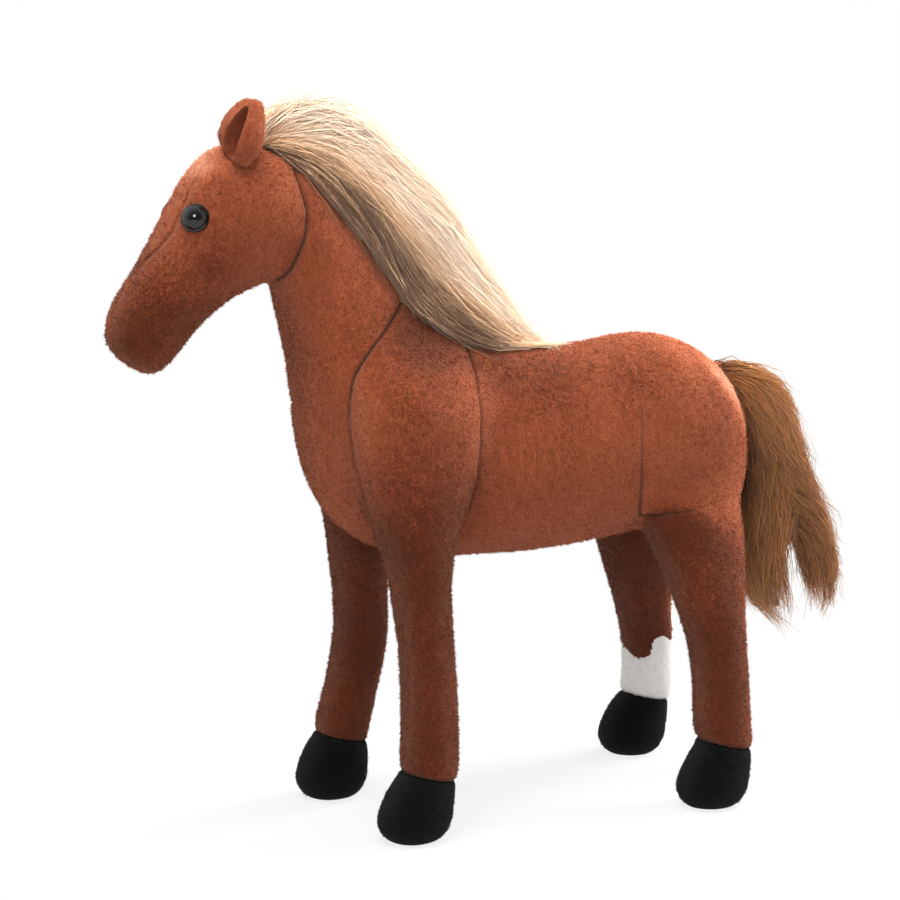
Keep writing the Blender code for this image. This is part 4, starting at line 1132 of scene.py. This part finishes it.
liningPlush = coatMaterial("earLiningPlush", coatColour, 0.30)
for sideName, side in (("Left", 1), ("Right", -1)):
    makeEar(sideName, side, earLook)
print("ears")

# eyes: a glossy dome on a short collar, pressed into the cloth
eyeLook = {
    "radius": 0.0063, "dome": 0.72, "flange": 1.16, "ring": 0.0004, "stem": 0.0024, "footInset": 0.001,
    "edgeWidth": 0.00014, "edgeAngle": 40, "proud": 0.0011, "ahead": 0.372, "up": 0.290,
}


def makeEye(sideName, side, values):
    radius = values["radius"]
    bpy.ops.object.select_all(action="DESELECT")
    bpy.ops.mesh.primitive_uv_sphere_add(segments=48, ring_count=32, radius=radius)
    eye = bpy.context.object
    eye.name = "eye" + sideName
    bpy.ops.object.mode_set(mode="EDIT")
    bpy.ops.mesh.select_all(action="SELECT")
    bpy.ops.transform.resize(value=(1, 1, values["dome"]))
    bpy.ops.mesh.bisect(plane_co=(0, 0, 0), plane_no=(0, 0, 1), clear_inner=True, use_fill=True)
    bpy.ops.mesh.select_all(action="DESELECT")
    bpy.ops.object.mode_set(mode="OBJECT")
    for polygon in eye.data.polygons:
        polygon.select = polygon.normal.z < -0.99
    bpy.ops.object.mode_set(mode="EDIT")
    bpy.ops.mesh.select_mode(type="FACE")
    bpy.ops.mesh.extrude_region_move(TRANSFORM_OT_translate={"value": (0, 0, -values["ring"])})
    bpy.ops.transform.resize(value=(values["flange"], values["flange"], 1))
    bpy.ops.mesh.extrude_region_move(TRANSFORM_OT_translate={"value": (0, 0, -values["stem"])})
    bpy.ops.mesh.inset(thickness=values["footInset"])
    bpy.ops.object.mode_set(mode="OBJECT")
    collar = eye.modifiers.new("collar", "BEVEL")
    collar.width = values["edgeWidth"]
    collar.segments = 2
    collar.limit_method = "ANGLE"
    collar.angle_limit = math.radians(values["edgeAngle"])
    applyModifier(eye, "collar")
    y, z = headPlace(values["ahead"], values["up"])
    place, normal = formTrees["head"].ray_cast(Vector((side * body["headLength"], y, z)), Vector((-side, 0, 0)))[:2]
    turn = Vector((0, 0, 1)).rotation_difference(normal).to_matrix().to_4x4()
    # painted reflection: lighter towards the dome's middle
    outwards = np.array([vertex.co.xy.length for vertex in eye.data.vertices])
    setValues(eye.data, "paintedReflection", np.maximum(0, 1 - (outwards / radius) ** 2))
    eye.data.transform(Matrix.Translation(place + normal * values["proud"]) @ turn)
    eye.data.shade_smooth()
    eye.data.materials.append(eyePlastic)
    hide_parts("eye_" + sideName.lower())
    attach(eye, "horse")


# a painted reflection: grey-blue in the dome's middle, fading to black at its rim
eyePaint = Paint("blackEyePlastic", {"Roughness": 0.08, "Specular IOR Level": 0.55})
paintedReflection = eyePaint.attribute("paintedReflection") + (eyePaint.grain(260, 2) - 0.5) * 0.4
paintedReflectionColour = eyePaint.mixed(eyePaint.between(paintedReflection, 0.15, 0.95), (0.001, 0.001, 0.001), (0.006, 0.007, 0.008))
eyePlastic = eyePaint.finish(paintedReflectionColour)
for sideName, side in (("Left", 1), ("Right", -1)):
    makeEye(sideName, side, eyeLook)
print("eyes")


def strandPiece(name, material, paths, radii, tones, fringeAndShade):
    # Hair: every strand is a thin tapered three-sided tube. paths is strands x stations x 3, radii and fringe
    # the same without the last, and tones one number for each strand.
    count, stations, _ = paths.shape
    along = np.gradient(paths, axis=1)
    along /= np.linalg.norm(along, axis=2, keepdims=True) + 1e-12
    spin = np.random.default_rng(5).normal(size=(count, 1, 3))
    side = np.cross(along, np.broadcast_to(spin, along.shape))
    side /= np.linalg.norm(side, axis=2, keepdims=True) + 1e-12
    other = np.cross(along, side)
    verts = np.empty((count, stations, 3, 3))
    for n in range(3):
        angle = 2 * math.pi * n / 3
        verts[:, :, n] = paths + (side * math.cos(angle) + other * math.sin(angle)) * radii[:, :, None]
    base = (np.arange(count) * stations * 3)[:, None, None]
    row = (np.arange(stations - 1) * 3)[None, :, None]
    n = np.arange(3)[None, None, :]
    m = (n + 1) % 3
    quads = np.stack((base + row + n, base + row + m, base + row + 3 + m, base + row + 3 + n), -1).reshape(-1, 4)
    start = np.stack([(np.arange(count) * stations * 3) + k for k in (2, 1, 0)], 1)
    end = start[:, ::-1] + (stations - 1) * 3
    triangles = np.concatenate((start, end))
    corners = np.concatenate((quads.ravel(), triangles.ravel()))
    starts = np.concatenate((np.arange(len(quads)) * 4, len(quads) * 4 + np.arange(len(triangles)) * 3))
    item = threads(name, material, verts, corners, starts)
    item.data.validate()
    setValues(item.data, "run", np.tile(np.repeat(np.linspace(0, 1, stations), 3), count))
    setValues(item.data, "tone", np.repeat(tones, stations * 3))
    setValues(item.data, "fringeAndShade", np.repeat(fringeAndShade.ravel(), 3))
    low, cell = bakePlaces(count)
    vertex = corners % (stations * 3)
    strand = corners // (stations * 3)
    cornerShare = (vertex // 3) / (stations - 1)
    cornerAround = (vertex % 3) / 3
    quadCount = len(quads) * 4
    wrap = np.zeros(len(corners))
    inQuad = np.arange(quadCount) % 4
    wrap[:quadCount] = ((inQuad == 1) | (inQuad == 2)) & (vertex[:quadCount] % 3 == 0)
    setBakeMap(item.data, low[strand] + cell * (0.08 + 0.84 * np.stack((cornerAround + wrap, cornerShare), 1)))
    item.data.shade_smooth()
    return item


def hairMaterial(name, roots, middles, tips, streak, shade, look):
    paint = Paint(name, look)
    run, tone, fringeAndShade = (paint.attribute(word) for word in ("run", "tone", "fringeAndShade"))
    colour = paint.mixed(paint.between(run, 0.02, 0.38), roots, middles)
    colour = paint.mixed(paint.between(run, 0.6, 1.0), colour, tips)
    streaked = tone + (paint.grain(55, 2, 0.5) - 0.5) * 0.8
    colour = paint.mixed(paint.between(streaked, 0.62, 1.05, 0, 0.75), colour, streak)
    low = fringeAndShade + (tone - 0.5) * 0.4
    colour = paint.mixed(paint.between(low, 0.10, 0.75, 0, 0.85), colour, streak)
    # painted shade: the shade colour where the fringe value is highest, at the mane's lower edge and the tail's upper
    # front
    colour = paint.mixed(paint.between(low, 0.54, 0.92, 0, 0.95), colour, shade)
    return paint.finish(colour)


def underfur(name, first, second):
    paint = Paint(name, {"Roughness": 0.85})
    grain = paint.grain(300, 3, 1.0)
    return paint.finish(paint.mixed(paint.between(grain, 0.3, 0.7), first, second), (grain, 0.6, 0.0008))


def evenly(stations, count):
    # The same line with evenly spread stations.
    stations = np.array(stations, float)
    lengths = np.concatenate(([0], np.cumsum(np.linalg.norm(np.diff(stations, axis=0), axis=1))))
    wanted = np.linspace(0, lengths[-1], count)
    return np.stack([np.interp(wanted, lengths, stations[:, k]) for k in range(stations.shape[1])], 1)


# the mane stands on the crest and sweeps back over it; lines of the side view in millimetres of the stance
maneLook = {
    "strands": 4000, "stations": 5, "rootRadius": 0.00028, "tipRadius": 0.00006, "halfWidth": 0.0175,
    "reach": (0.24, 0.46), "clumps": 260, "clumping": 0.55, "droop": 0.10, "strays": 0.07, "seed": 11,
    "bedRows": 40, "bedRounds": 28, "bedOut": 0.84, "bedShrink": 0.93,
}
maneTop = evenly([(-152, 366), (-149, 378), (-142, 381.5), (-128, 384), (-111, 380), (-97, 373), (-87, 365), (-79, 356),
                  (-72, 347), (-56, 335), (-47, 324), (-40, 312), (-34, 297), (-22, 283), (-12, 268), (-2, 256), (6, 248)], 24)
maneFoot = evenly([(-152, 352), (-143, 349), (-134, 344), (-125, 336), (-117, 329), (-109, 321), (-101, 313), (-94, 305),
                   (-88, 295), (-81, 284), (-73, 275), (-65, 267), (-51, 257), (-33, 249), (-13, 245), (7, 244)], 24)


def liftedOff(paths, tree, clearance):
    # Moves what would lie in the cloth out to its own clearance over it; the root stays.
    out = paths.copy()
    for n in range(paths.shape[0]):
        for k in range(1, paths.shape[1]):
            point = Vector(paths[n, k])
            place, normal, _, away = tree.find_nearest(point, 0.05)
            if place is None:
                continue
            over = (point - place).dot(normal)
            if over < clearance[n]:
                out[n, k] = point + normal * (clearance[n] - over)
    return out


def inStance(side, place):
    # World places from the side view's millimetres.
    return np.stack((side, place[..., 0] / 1000 + forward, place[..., 1] / 1000), -1)


def maneSurface(along, across, side, out):
    # along runs from poll to withers, across from the foot line to the top, and out is 1 on the mane's surface.
    foot, top = curve(maneFoot, along), curve(maneTop, along)
    bulge = np.sign(across) * np.abs(np.sin(across * math.pi / 2)) ** 0.9
    place = foot + (top - foot) * (bulge * out)[..., None]
    narrow = np.minimum(1, 0.35 + along * 3) * np.clip((1.06 - along) * 4, 0.12, 1)
    rounded = 0.22 + 0.78 * np.maximum(np.cos(across * math.pi / 2), 0) ** 0.75
    return inStance(side * (maneLook["halfWidth"] * narrow * rounded * (0.55 + 0.45 * out)), place)


def maneStrands(side, values, seed):
    dice = np.random.default_rng(seed)
    count, stations = values["strands"], values["stations"]
    clumpRoot = dice.uniform(-0.02, 0.93, values["clumps"])
    isLow = dice.random(values["clumps"]) < 0.42
    clumpAcross = np.where(isLow, dice.uniform(-0.03, 0.22, values["clumps"]), dice.uniform(0.0, 1.0, values["clumps"]))
    pick = dice.integers(0, values["clumps"], count)
    t = np.linspace(0, 1, stations)[None, :]
    root = (clumpRoot[pick] + dice.normal(0, 0.035, count))[:, None]
    reach = dice.uniform(*values["reach"], count)[:, None]
    endAcross = np.clip(clumpAcross[pick] + dice.normal(0, 0.10, count), -0.05, 1.0)[:, None]
    startAcross = np.maximum(endAcross, 0.02) * dice.uniform(0.15, 0.75, count)[:, None]
    join = values["clumping"] * t ** 1.5
    along = root * (1 - join) + clumpRoot[pick][:, None] * join + reach * t
    across = startAcross + (endAcross - startAcross) * (1 - (1 - t) ** 1.8) - values["droop"] * t ** 2
    across = across * (1 - join) + join * (clumpAcross[pick][:, None] - values["droop"] * t ** 2)
    across = np.clip(across, -0.06 * (1 - np.clip(along, 0, 1) ** 4), 1)
    stray = dice.random(count)[:, None] < values["strays"]
    out = dice.uniform(0.80, 1.03, count)[:, None] * (0.55 + 0.45 * np.minimum(1, t * 3.5)) + stray * 0.07 * t ** 2
    stop = np.clip(along, 0, 1.03)
    paths = maneSurface(np.minimum(stop, 1.0), across, side, out)
    past = np.maximum(stop - 1.0, 0)[..., None]
    paths = paths + past * np.array((0, 0.150, -0.055))
    wave = dice.normal(0, 1, (count, 3))[:, None, :] * (t ** 1.6)[..., None] * (0.0014 + 0.0030 * stray[..., None])
    curl = np.sin(t * dice.uniform(3, 8, count)[:, None] + dice.uniform(0, 6, count)[:, None])[..., None]
    paths = paths + wave + curl * dice.normal(0, 0.00045, (count, 3))[:, None, :]
    paths = liftedOff(paths, coatTree, 0.0010 + 0.0022 * dice.random(count) * np.clip(out[:, 0] / 0.6, 0.2, 1))
    radii = values["rootRadius"] + (values["tipRadius"] - values["rootRadius"]) * t ** 1.3
    radii = radii * dice.uniform(0.75, 1.25, count)[:, None]
    tones = np.clip(dice.normal(0.5, 0.18, count) + dice.normal(0, 0.12, values["clumps"])[pick], 0, 1)
    # the mane's lower edge: a golden band, and painted shade at its very edge
    fringeAndShade = np.exp(-(np.maximum(across, 0) / 0.34) ** 2) * (1 - 0.5 * rising(along, 0.80, 1.0))
    return paths, radii, tones, fringeAndShade * dice.uniform(0.75, 1.0, count)[:, None]


maneHair = hairMaterial(
    "blondeManeHair", srgb(176, 128, 84), srgb(250, 229, 206), srgb(246, 228, 206), srgb(232, 180, 124), srgb(76, 40, 19),
    {"Roughness": 0.42, "Specular IOR Level": 0.35, "Sheen Weight": 0.2},
)
maneFaces = 0
for sideName, side in (("Left", 1), ("Right", -1), ("LeftUpper", 1), ("RightUpper", -1)):
    strands = maneStrands(side, maneLook, maneLook["seed"] + side + 5 * len(sideName))
    item = strandPiece("maneHair" + sideName, maneHair, *strands)
    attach(item, "horse")
    maneFaces += len(item.data.polygons)


def maneBed(values):
    # The close underlayer that the long hair lies on, a little inside the hair's surface.
    rows, rounds = values["bedRows"], values["bedRounds"]
    verts = []
    for r in range(rows):
        along = np.full(rounds // 2 + 1, r / (rows - 1))
        across = np.linspace(0, 1, rounds // 2 + 1)
        left, right = (maneSurface(along, across, side, np.full(len(across), values["bedOut"])) for side in (1, -1))
        ringPoints = np.concatenate((left, right[::-1][1:]))
        middle = ringPoints.mean(0)
        verts.extend(middle + (ringPoints - middle) * values["bedShrink"])
    return facingOut(addMesh("maneBed", verts, ringFaces(rows, rounds + 1)))


bed = maneBed(maneLook)
bed.data.shade_smooth()


bed.data.materials.append(underfur("maneUnderfur", srgb(206, 166, 122), srgb(238, 212, 178)))
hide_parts("mane_pile", "mane_strip")
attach(bed, "horse")
print("mane", maneFaces)

# the tail falls from the dock and parts into two tips
tailLook = {
    "strands": 6300, "stations": 5, "rootRadius": 0.00027, "tipRadius": 0.00006, "halfWidth": 0.0215,
    "clumps": 420, "clumping": 0.50, "strays": 0.10, "seed": 31, "widest": 0.0245,
    "bedRows": 34, "bedRounds": 24, "bedFrom": 0.07, "bedRun": 0.85, "bedOut": 0.80,
}
tailRear = [(108, 232.5), (125, 235.0), (138, 232), (149, 226), (158, 215), (163, 201), (167, 186), (172, 169), (178, 153),
            (182, 138), (185, 122), (186, 108), (186, 97), (185, 87)]
tailFront = [(108, 228), (117, 221), (121, 214), (124, 203), (126, 190), (128, 177), (130, 163), (131, 150), (132, 138),
             (132.5, 127), (134, 116), (138, 105), (145, 94), (160, 80)]
rearTipFront = [(108, 228), (117, 221), (121, 214), (124, 203), (128, 190), (134, 177), (142, 163), (152, 150), (163, 140),
                (171, 130), (178, 120), (181, 110), (183.5, 101), (186, 90)]
frontTipRear = [(108, 232.5), (125, 235.0), (138, 232), (149, 226), (158, 215), (162, 201), (164, 186), (165, 169),
                (163, 153), (160, 138), (158, 124), (160, 107), (164, 92), (168, 77)]
tailWide = [0.20, 0.34, 0.52, 0.70, 0.84, 0.93, 0.98, 1.0, 1.0, 0.97, 0.9, 0.78, 0.56, 0.28]


def tailWidth(along):
    return curve([(wide, 0) for wide in tailWide], along)[..., 0] * tailLook["halfWidth"]


def tailSurface(along, around, rearLobe, out):
    rear = np.where(rearLobe[..., None], curve(tailRear, along), curve(frontTipRear, along))
    front = np.where(rearLobe[..., None], curve(rearTipFront, along), curve(tailFront, along))
    early = np.clip(1 - (along - 0.30) / 0.30, 0, 1)[..., None]
    rear = rear * (1 - early) + curve(tailRear, along) * early
    front = front * (1 - early) + curve(tailFront, along) * early
    place = (front + rear) / 2 + (rear - front) / 2 * (np.cos(around) * out)[..., None]
    return inStance(np.sin(around) * tailWidth(along) * out, place)


def tailStrands(values, seed):
    dice = np.random.default_rng(seed)
    count, stations = values["strands"], values["stations"]
    clumpAround = dice.uniform(-math.pi, math.pi, values["clumps"])
    clumpRear = dice.uniform(0, 1, values["clumps"]) < 0.5 + 0.42 * np.cos(clumpAround)
    clumpEnd = dice.uniform(0.84, 1.0, values["clumps"])
    clumpOut = dice.uniform(0.84, 1.03, values["clumps"])
    clumpRoot = dice.beta(0.8, 1.1, values["clumps"]) * 0.66
    clumpLength = dice.uniform(0.26, 0.42, values["clumps"])
    # the pile leaves the dock's front line and combs round to the rear as it falls
    sway = np.sign(clumpAround) * np.minimum(0.95, math.pi - np.abs(clumpAround)) * np.where(clumpRear, 1.0, 0.3)
    pick = dice.integers(0, values["clumps"], count)
    t = np.linspace(0, 1, stations)[None, :]
    root = np.maximum(clumpRoot[pick] + dice.normal(0, 0.035, count), 0)[:, None]
    end = root + (clumpLength[pick] * dice.uniform(0.8, 1.15, count))[:, None]
    end = np.minimum(end, (clumpEnd[pick] + dice.normal(0, 0.03, count))[:, None])
    end = np.minimum(end, 1.0)
    along = root + (end - root) * t ** 0.95
    join = values["clumping"] * t ** 1.5
    around = (clumpAround[pick] + dice.normal(0, 0.34, count))[:, None] + (t - 0.5) * dice.normal(0, 0.5, count)[:, None]
    around = around * (1 - join) + clumpAround[pick][:, None] * join + sway[pick][:, None] * (1 - t)
    out = clumpOut[pick][:, None] * dice.uniform(0.92, 1.03, count)[:, None]
    out = out * (0.66 + 0.34 * np.minimum(1, t * 1.8))
    lobe = np.broadcast_to(clumpRear[pick][:, None], along.shape)
    paths = tailSurface(np.clip(along, 0, 1), around, lobe, out)
    stray = dice.random(count)[:, None, None] < values["strays"]
    wave = dice.normal(0, 1, (count, 3))[:, None, :] * (t ** 1.5)[..., None] * (0.0018 + 0.0022 * stray)
    clumpWay = dice.normal(0, 0.0017, (values["clumps"], 3))[pick][:, None, :]
    bend = np.sin(t * 5 + dice.uniform(0, 6, values["clumps"])[pick][:, None]) * t ** 0.7
    curl = np.sin(t * dice.uniform(5, 12, count)[:, None] + dice.uniform(0, 6, count)[:, None])[..., None]
    paths = paths + wave + bend[..., None] * clumpWay + curl * dice.normal(0, 0.0012, (count, 3))[:, None, :]
    paths[..., 0] = np.clip(paths[..., 0], -values["widest"], values["widest"])
    radii = values["rootRadius"] + (values["tipRadius"] - values["rootRadius"]) * t ** 1.3
    radii = radii * dice.uniform(0.75, 1.25, count)[:, None]
    tones = np.clip(dice.normal(0.5, 0.26, count) + dice.normal(0, 0.20, values["clumps"])[pick], 0, 1)
    tones = np.clip(tones - 0.30 * np.clip(1 - root[:, 0] / 0.3, 0, 1), 0, 1)
    # painted shade on the tail's upper front, next to the rump
    fringeAndShade = np.clip(-np.cos(around) * 0.9 + 0.10, 0, 1) * rising(along, 0.80, 0.35)
    return paths, radii, tones, fringeAndShade * dice.uniform(0.7, 1, count)[:, None]


tailHair = hairMaterial(
    "oliveBrownTailHair", srgb(88, 53, 27), srgb(160, 106, 61), srgb(176, 121, 76), srgb(98, 60, 30), srgb(52, 27, 12),
    {"Roughness": 0.62, "Specular IOR Level": 0.15, "Sheen Weight": 0.1},
)
tailFaces = 0
for name, more in (("tailHair", 0), ("tailHairOver", 4)):
    item = strandPiece(name, tailHair, *tailStrands(tailLook, tailLook["seed"] + more))
    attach(item, "tail")
    tailFaces += len(item.data.polygons)


def tailBed(values):
    # The close core that the tail's hair lies on.
    rows, rounds = values["bedRows"], values["bedRounds"]
    verts = []
    angles = np.linspace(-math.pi, math.pi, rounds, endpoint=False)
    for r in range(rows):
        along = np.full(rounds, values["bedFrom"] + values["bedRun"] * r / (rows - 1))
        full = values["bedOut"] if r < rows * 0.7 else values["bedOut"] - 0.5 * (r / rows - 0.7) / 0.3
        rear, front = curve(tailRear, along), curve(tailFront, along)
        split = np.clip((along - 0.58) / 0.2, 0, 1)[..., None]
        rear = rear * (1 - split) + curve(frontTipRear, along) * split
        place = (front + rear) / 2 + (rear - front) / 2 * (np.cos(angles) * full)[..., None]
        verts.extend(inStance(np.sin(angles) * tailWidth(along) * full, place))
    return facingOut(addMesh("tailBed", verts, ringFaces(rows, rounds)))


washerPaint = Paint("washerPlastic", {"Roughness": 0.4})
washerPlastic = washerPaint.finish(washerPaint.mixed(washerPaint.grain(400, 2), srgb(222, 220, 214), srgb(236, 234, 230)))
for name, look in (("tail_dock", coat), ("eye_washer_left", washerPlastic), ("eye_washer_right", washerPlastic)):
    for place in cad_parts[name].material_slots:
        place.material = look
tailCore = tailBed(tailLook)
tailCore.data.shade_smooth()
tailCore.data.materials.append(underfur("tailUnderfur", srgb(66, 40, 22), srgb(104, 70, 42)))
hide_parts("tail_pile")
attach(tailCore, "tail")
print("tail", tailFaces)


# stage: a floor, three lamps and a white room
stageLook = {
    "floorSize": 8, "floorGrey": 0.55, "shadowKept": 0.80, "glowFrom": 0.12, "glowFull": 0.36, "world": 0.42, "darkest": 0.06,
    "lamps": [  # name, place, aim, size, power, mirrored or not
        ("key", (0.25, -0.25, 1.5), (0, 0, 0.2), 1.0, 35, False),
        ("front", (1.22, -0.98, 1.02), (0, 0, 0.2), 0.40, 9, True),
        ("rim", (-0.15, 1.25, 1.02), (0, 0, 0.22), 0.9, 56, False),
    ],
}


def areaLamp(name, place, aim, size, power, mirrored):
    data = bpy.data.lights.new(name, "AREA")
    data.shape = "SQUARE"
    data.size = size
    data.energy = power
    lamp = placed(name, data)
    lamp.location = place
    lamp.visible_glossy = mirrored
    lamp.rotation_euler = turnedTo(Vector(aim) - Vector(place))


bpy.ops.mesh.primitive_plane_add(size=stageLook["floorSize"], location=(0, 0, 0))
floor = bpy.context.object
floor.name = "floor"
grey = (stageLook["floorGrey"],) * 3
floorPaint = Paint("paleFloor", {"Base Color": (*grey, 1), "Roughness": 1.0, "Specular IOR Level": 0.0})
glow = floorPaint.node("ShaderNodeEmission", {}, {"Strength": 1.0})
away = floorPaint.node("ShaderNodeVectorMath", {"operation": "LENGTH"}, {0: floorPaint.place}, 1)
camera, seen = floorPaint.seenRays()
share = seen * floorPaint.between(away, stageLook["glowFrom"], stageLook["glowFull"], stageLook["shadowKept"], 1.0)
lit = Wire(floorPaint, floorPaint.shader.outputs[0])
shown = floorPaint.node("ShaderNodeMixShader", {}, {0: share, 1: lit, 2: glow})
floorPaint.feed(floorPaint.tree.nodes["Material Output"].inputs[0], shown)
floor.data.materials.append(floorPaint.material)
for lampValues in stageLook["lamps"]:
    areaLamp(*lampValues)
world = bpy.data.worlds.new("studio")
bpy.context.scene.world = world
world.use_nodes = True
sky = Nodes(world.node_tree)
back = sky.tree.nodes["Background"]
back.inputs["Color"].default_value = (1, 1, 1, 1)
back.inputs["Strength"].default_value = stageLook["world"]
# the room behind the camera is dark to what mirrors it, and the camera itself sees plain white
way = sky.node("ShaderNodeTexCoord", {}, {}, "Generated")
facing = sky.node("ShaderNodeVectorMath", {"operation": "DOT_PRODUCT"}, {0: way, 1: (0.910, -0.391, 0.140)}, "Value")
dimmed = sky.node("ShaderNodeMapRange", {}, {0: facing, 1: 0.25, 2: 0.75, 3: 1.0, 4: stageLook["darkest"]})
camera, seen = sky.seenRays()
white = sky.node("ShaderNodeBackground", {}, {"Color": (1, 1, 1), "Strength": camera.maths("MAXIMUM", dimmed, camera)})
room = sky.node("ShaderNodeMixShader", {}, {0: seen, 1: Wire(sky, back.outputs[0]), 2: white})
sky.feed(sky.tree.nodes["World Output"].inputs[0], room)
bpy.context.scene.view_settings.view_transform = "Standard"
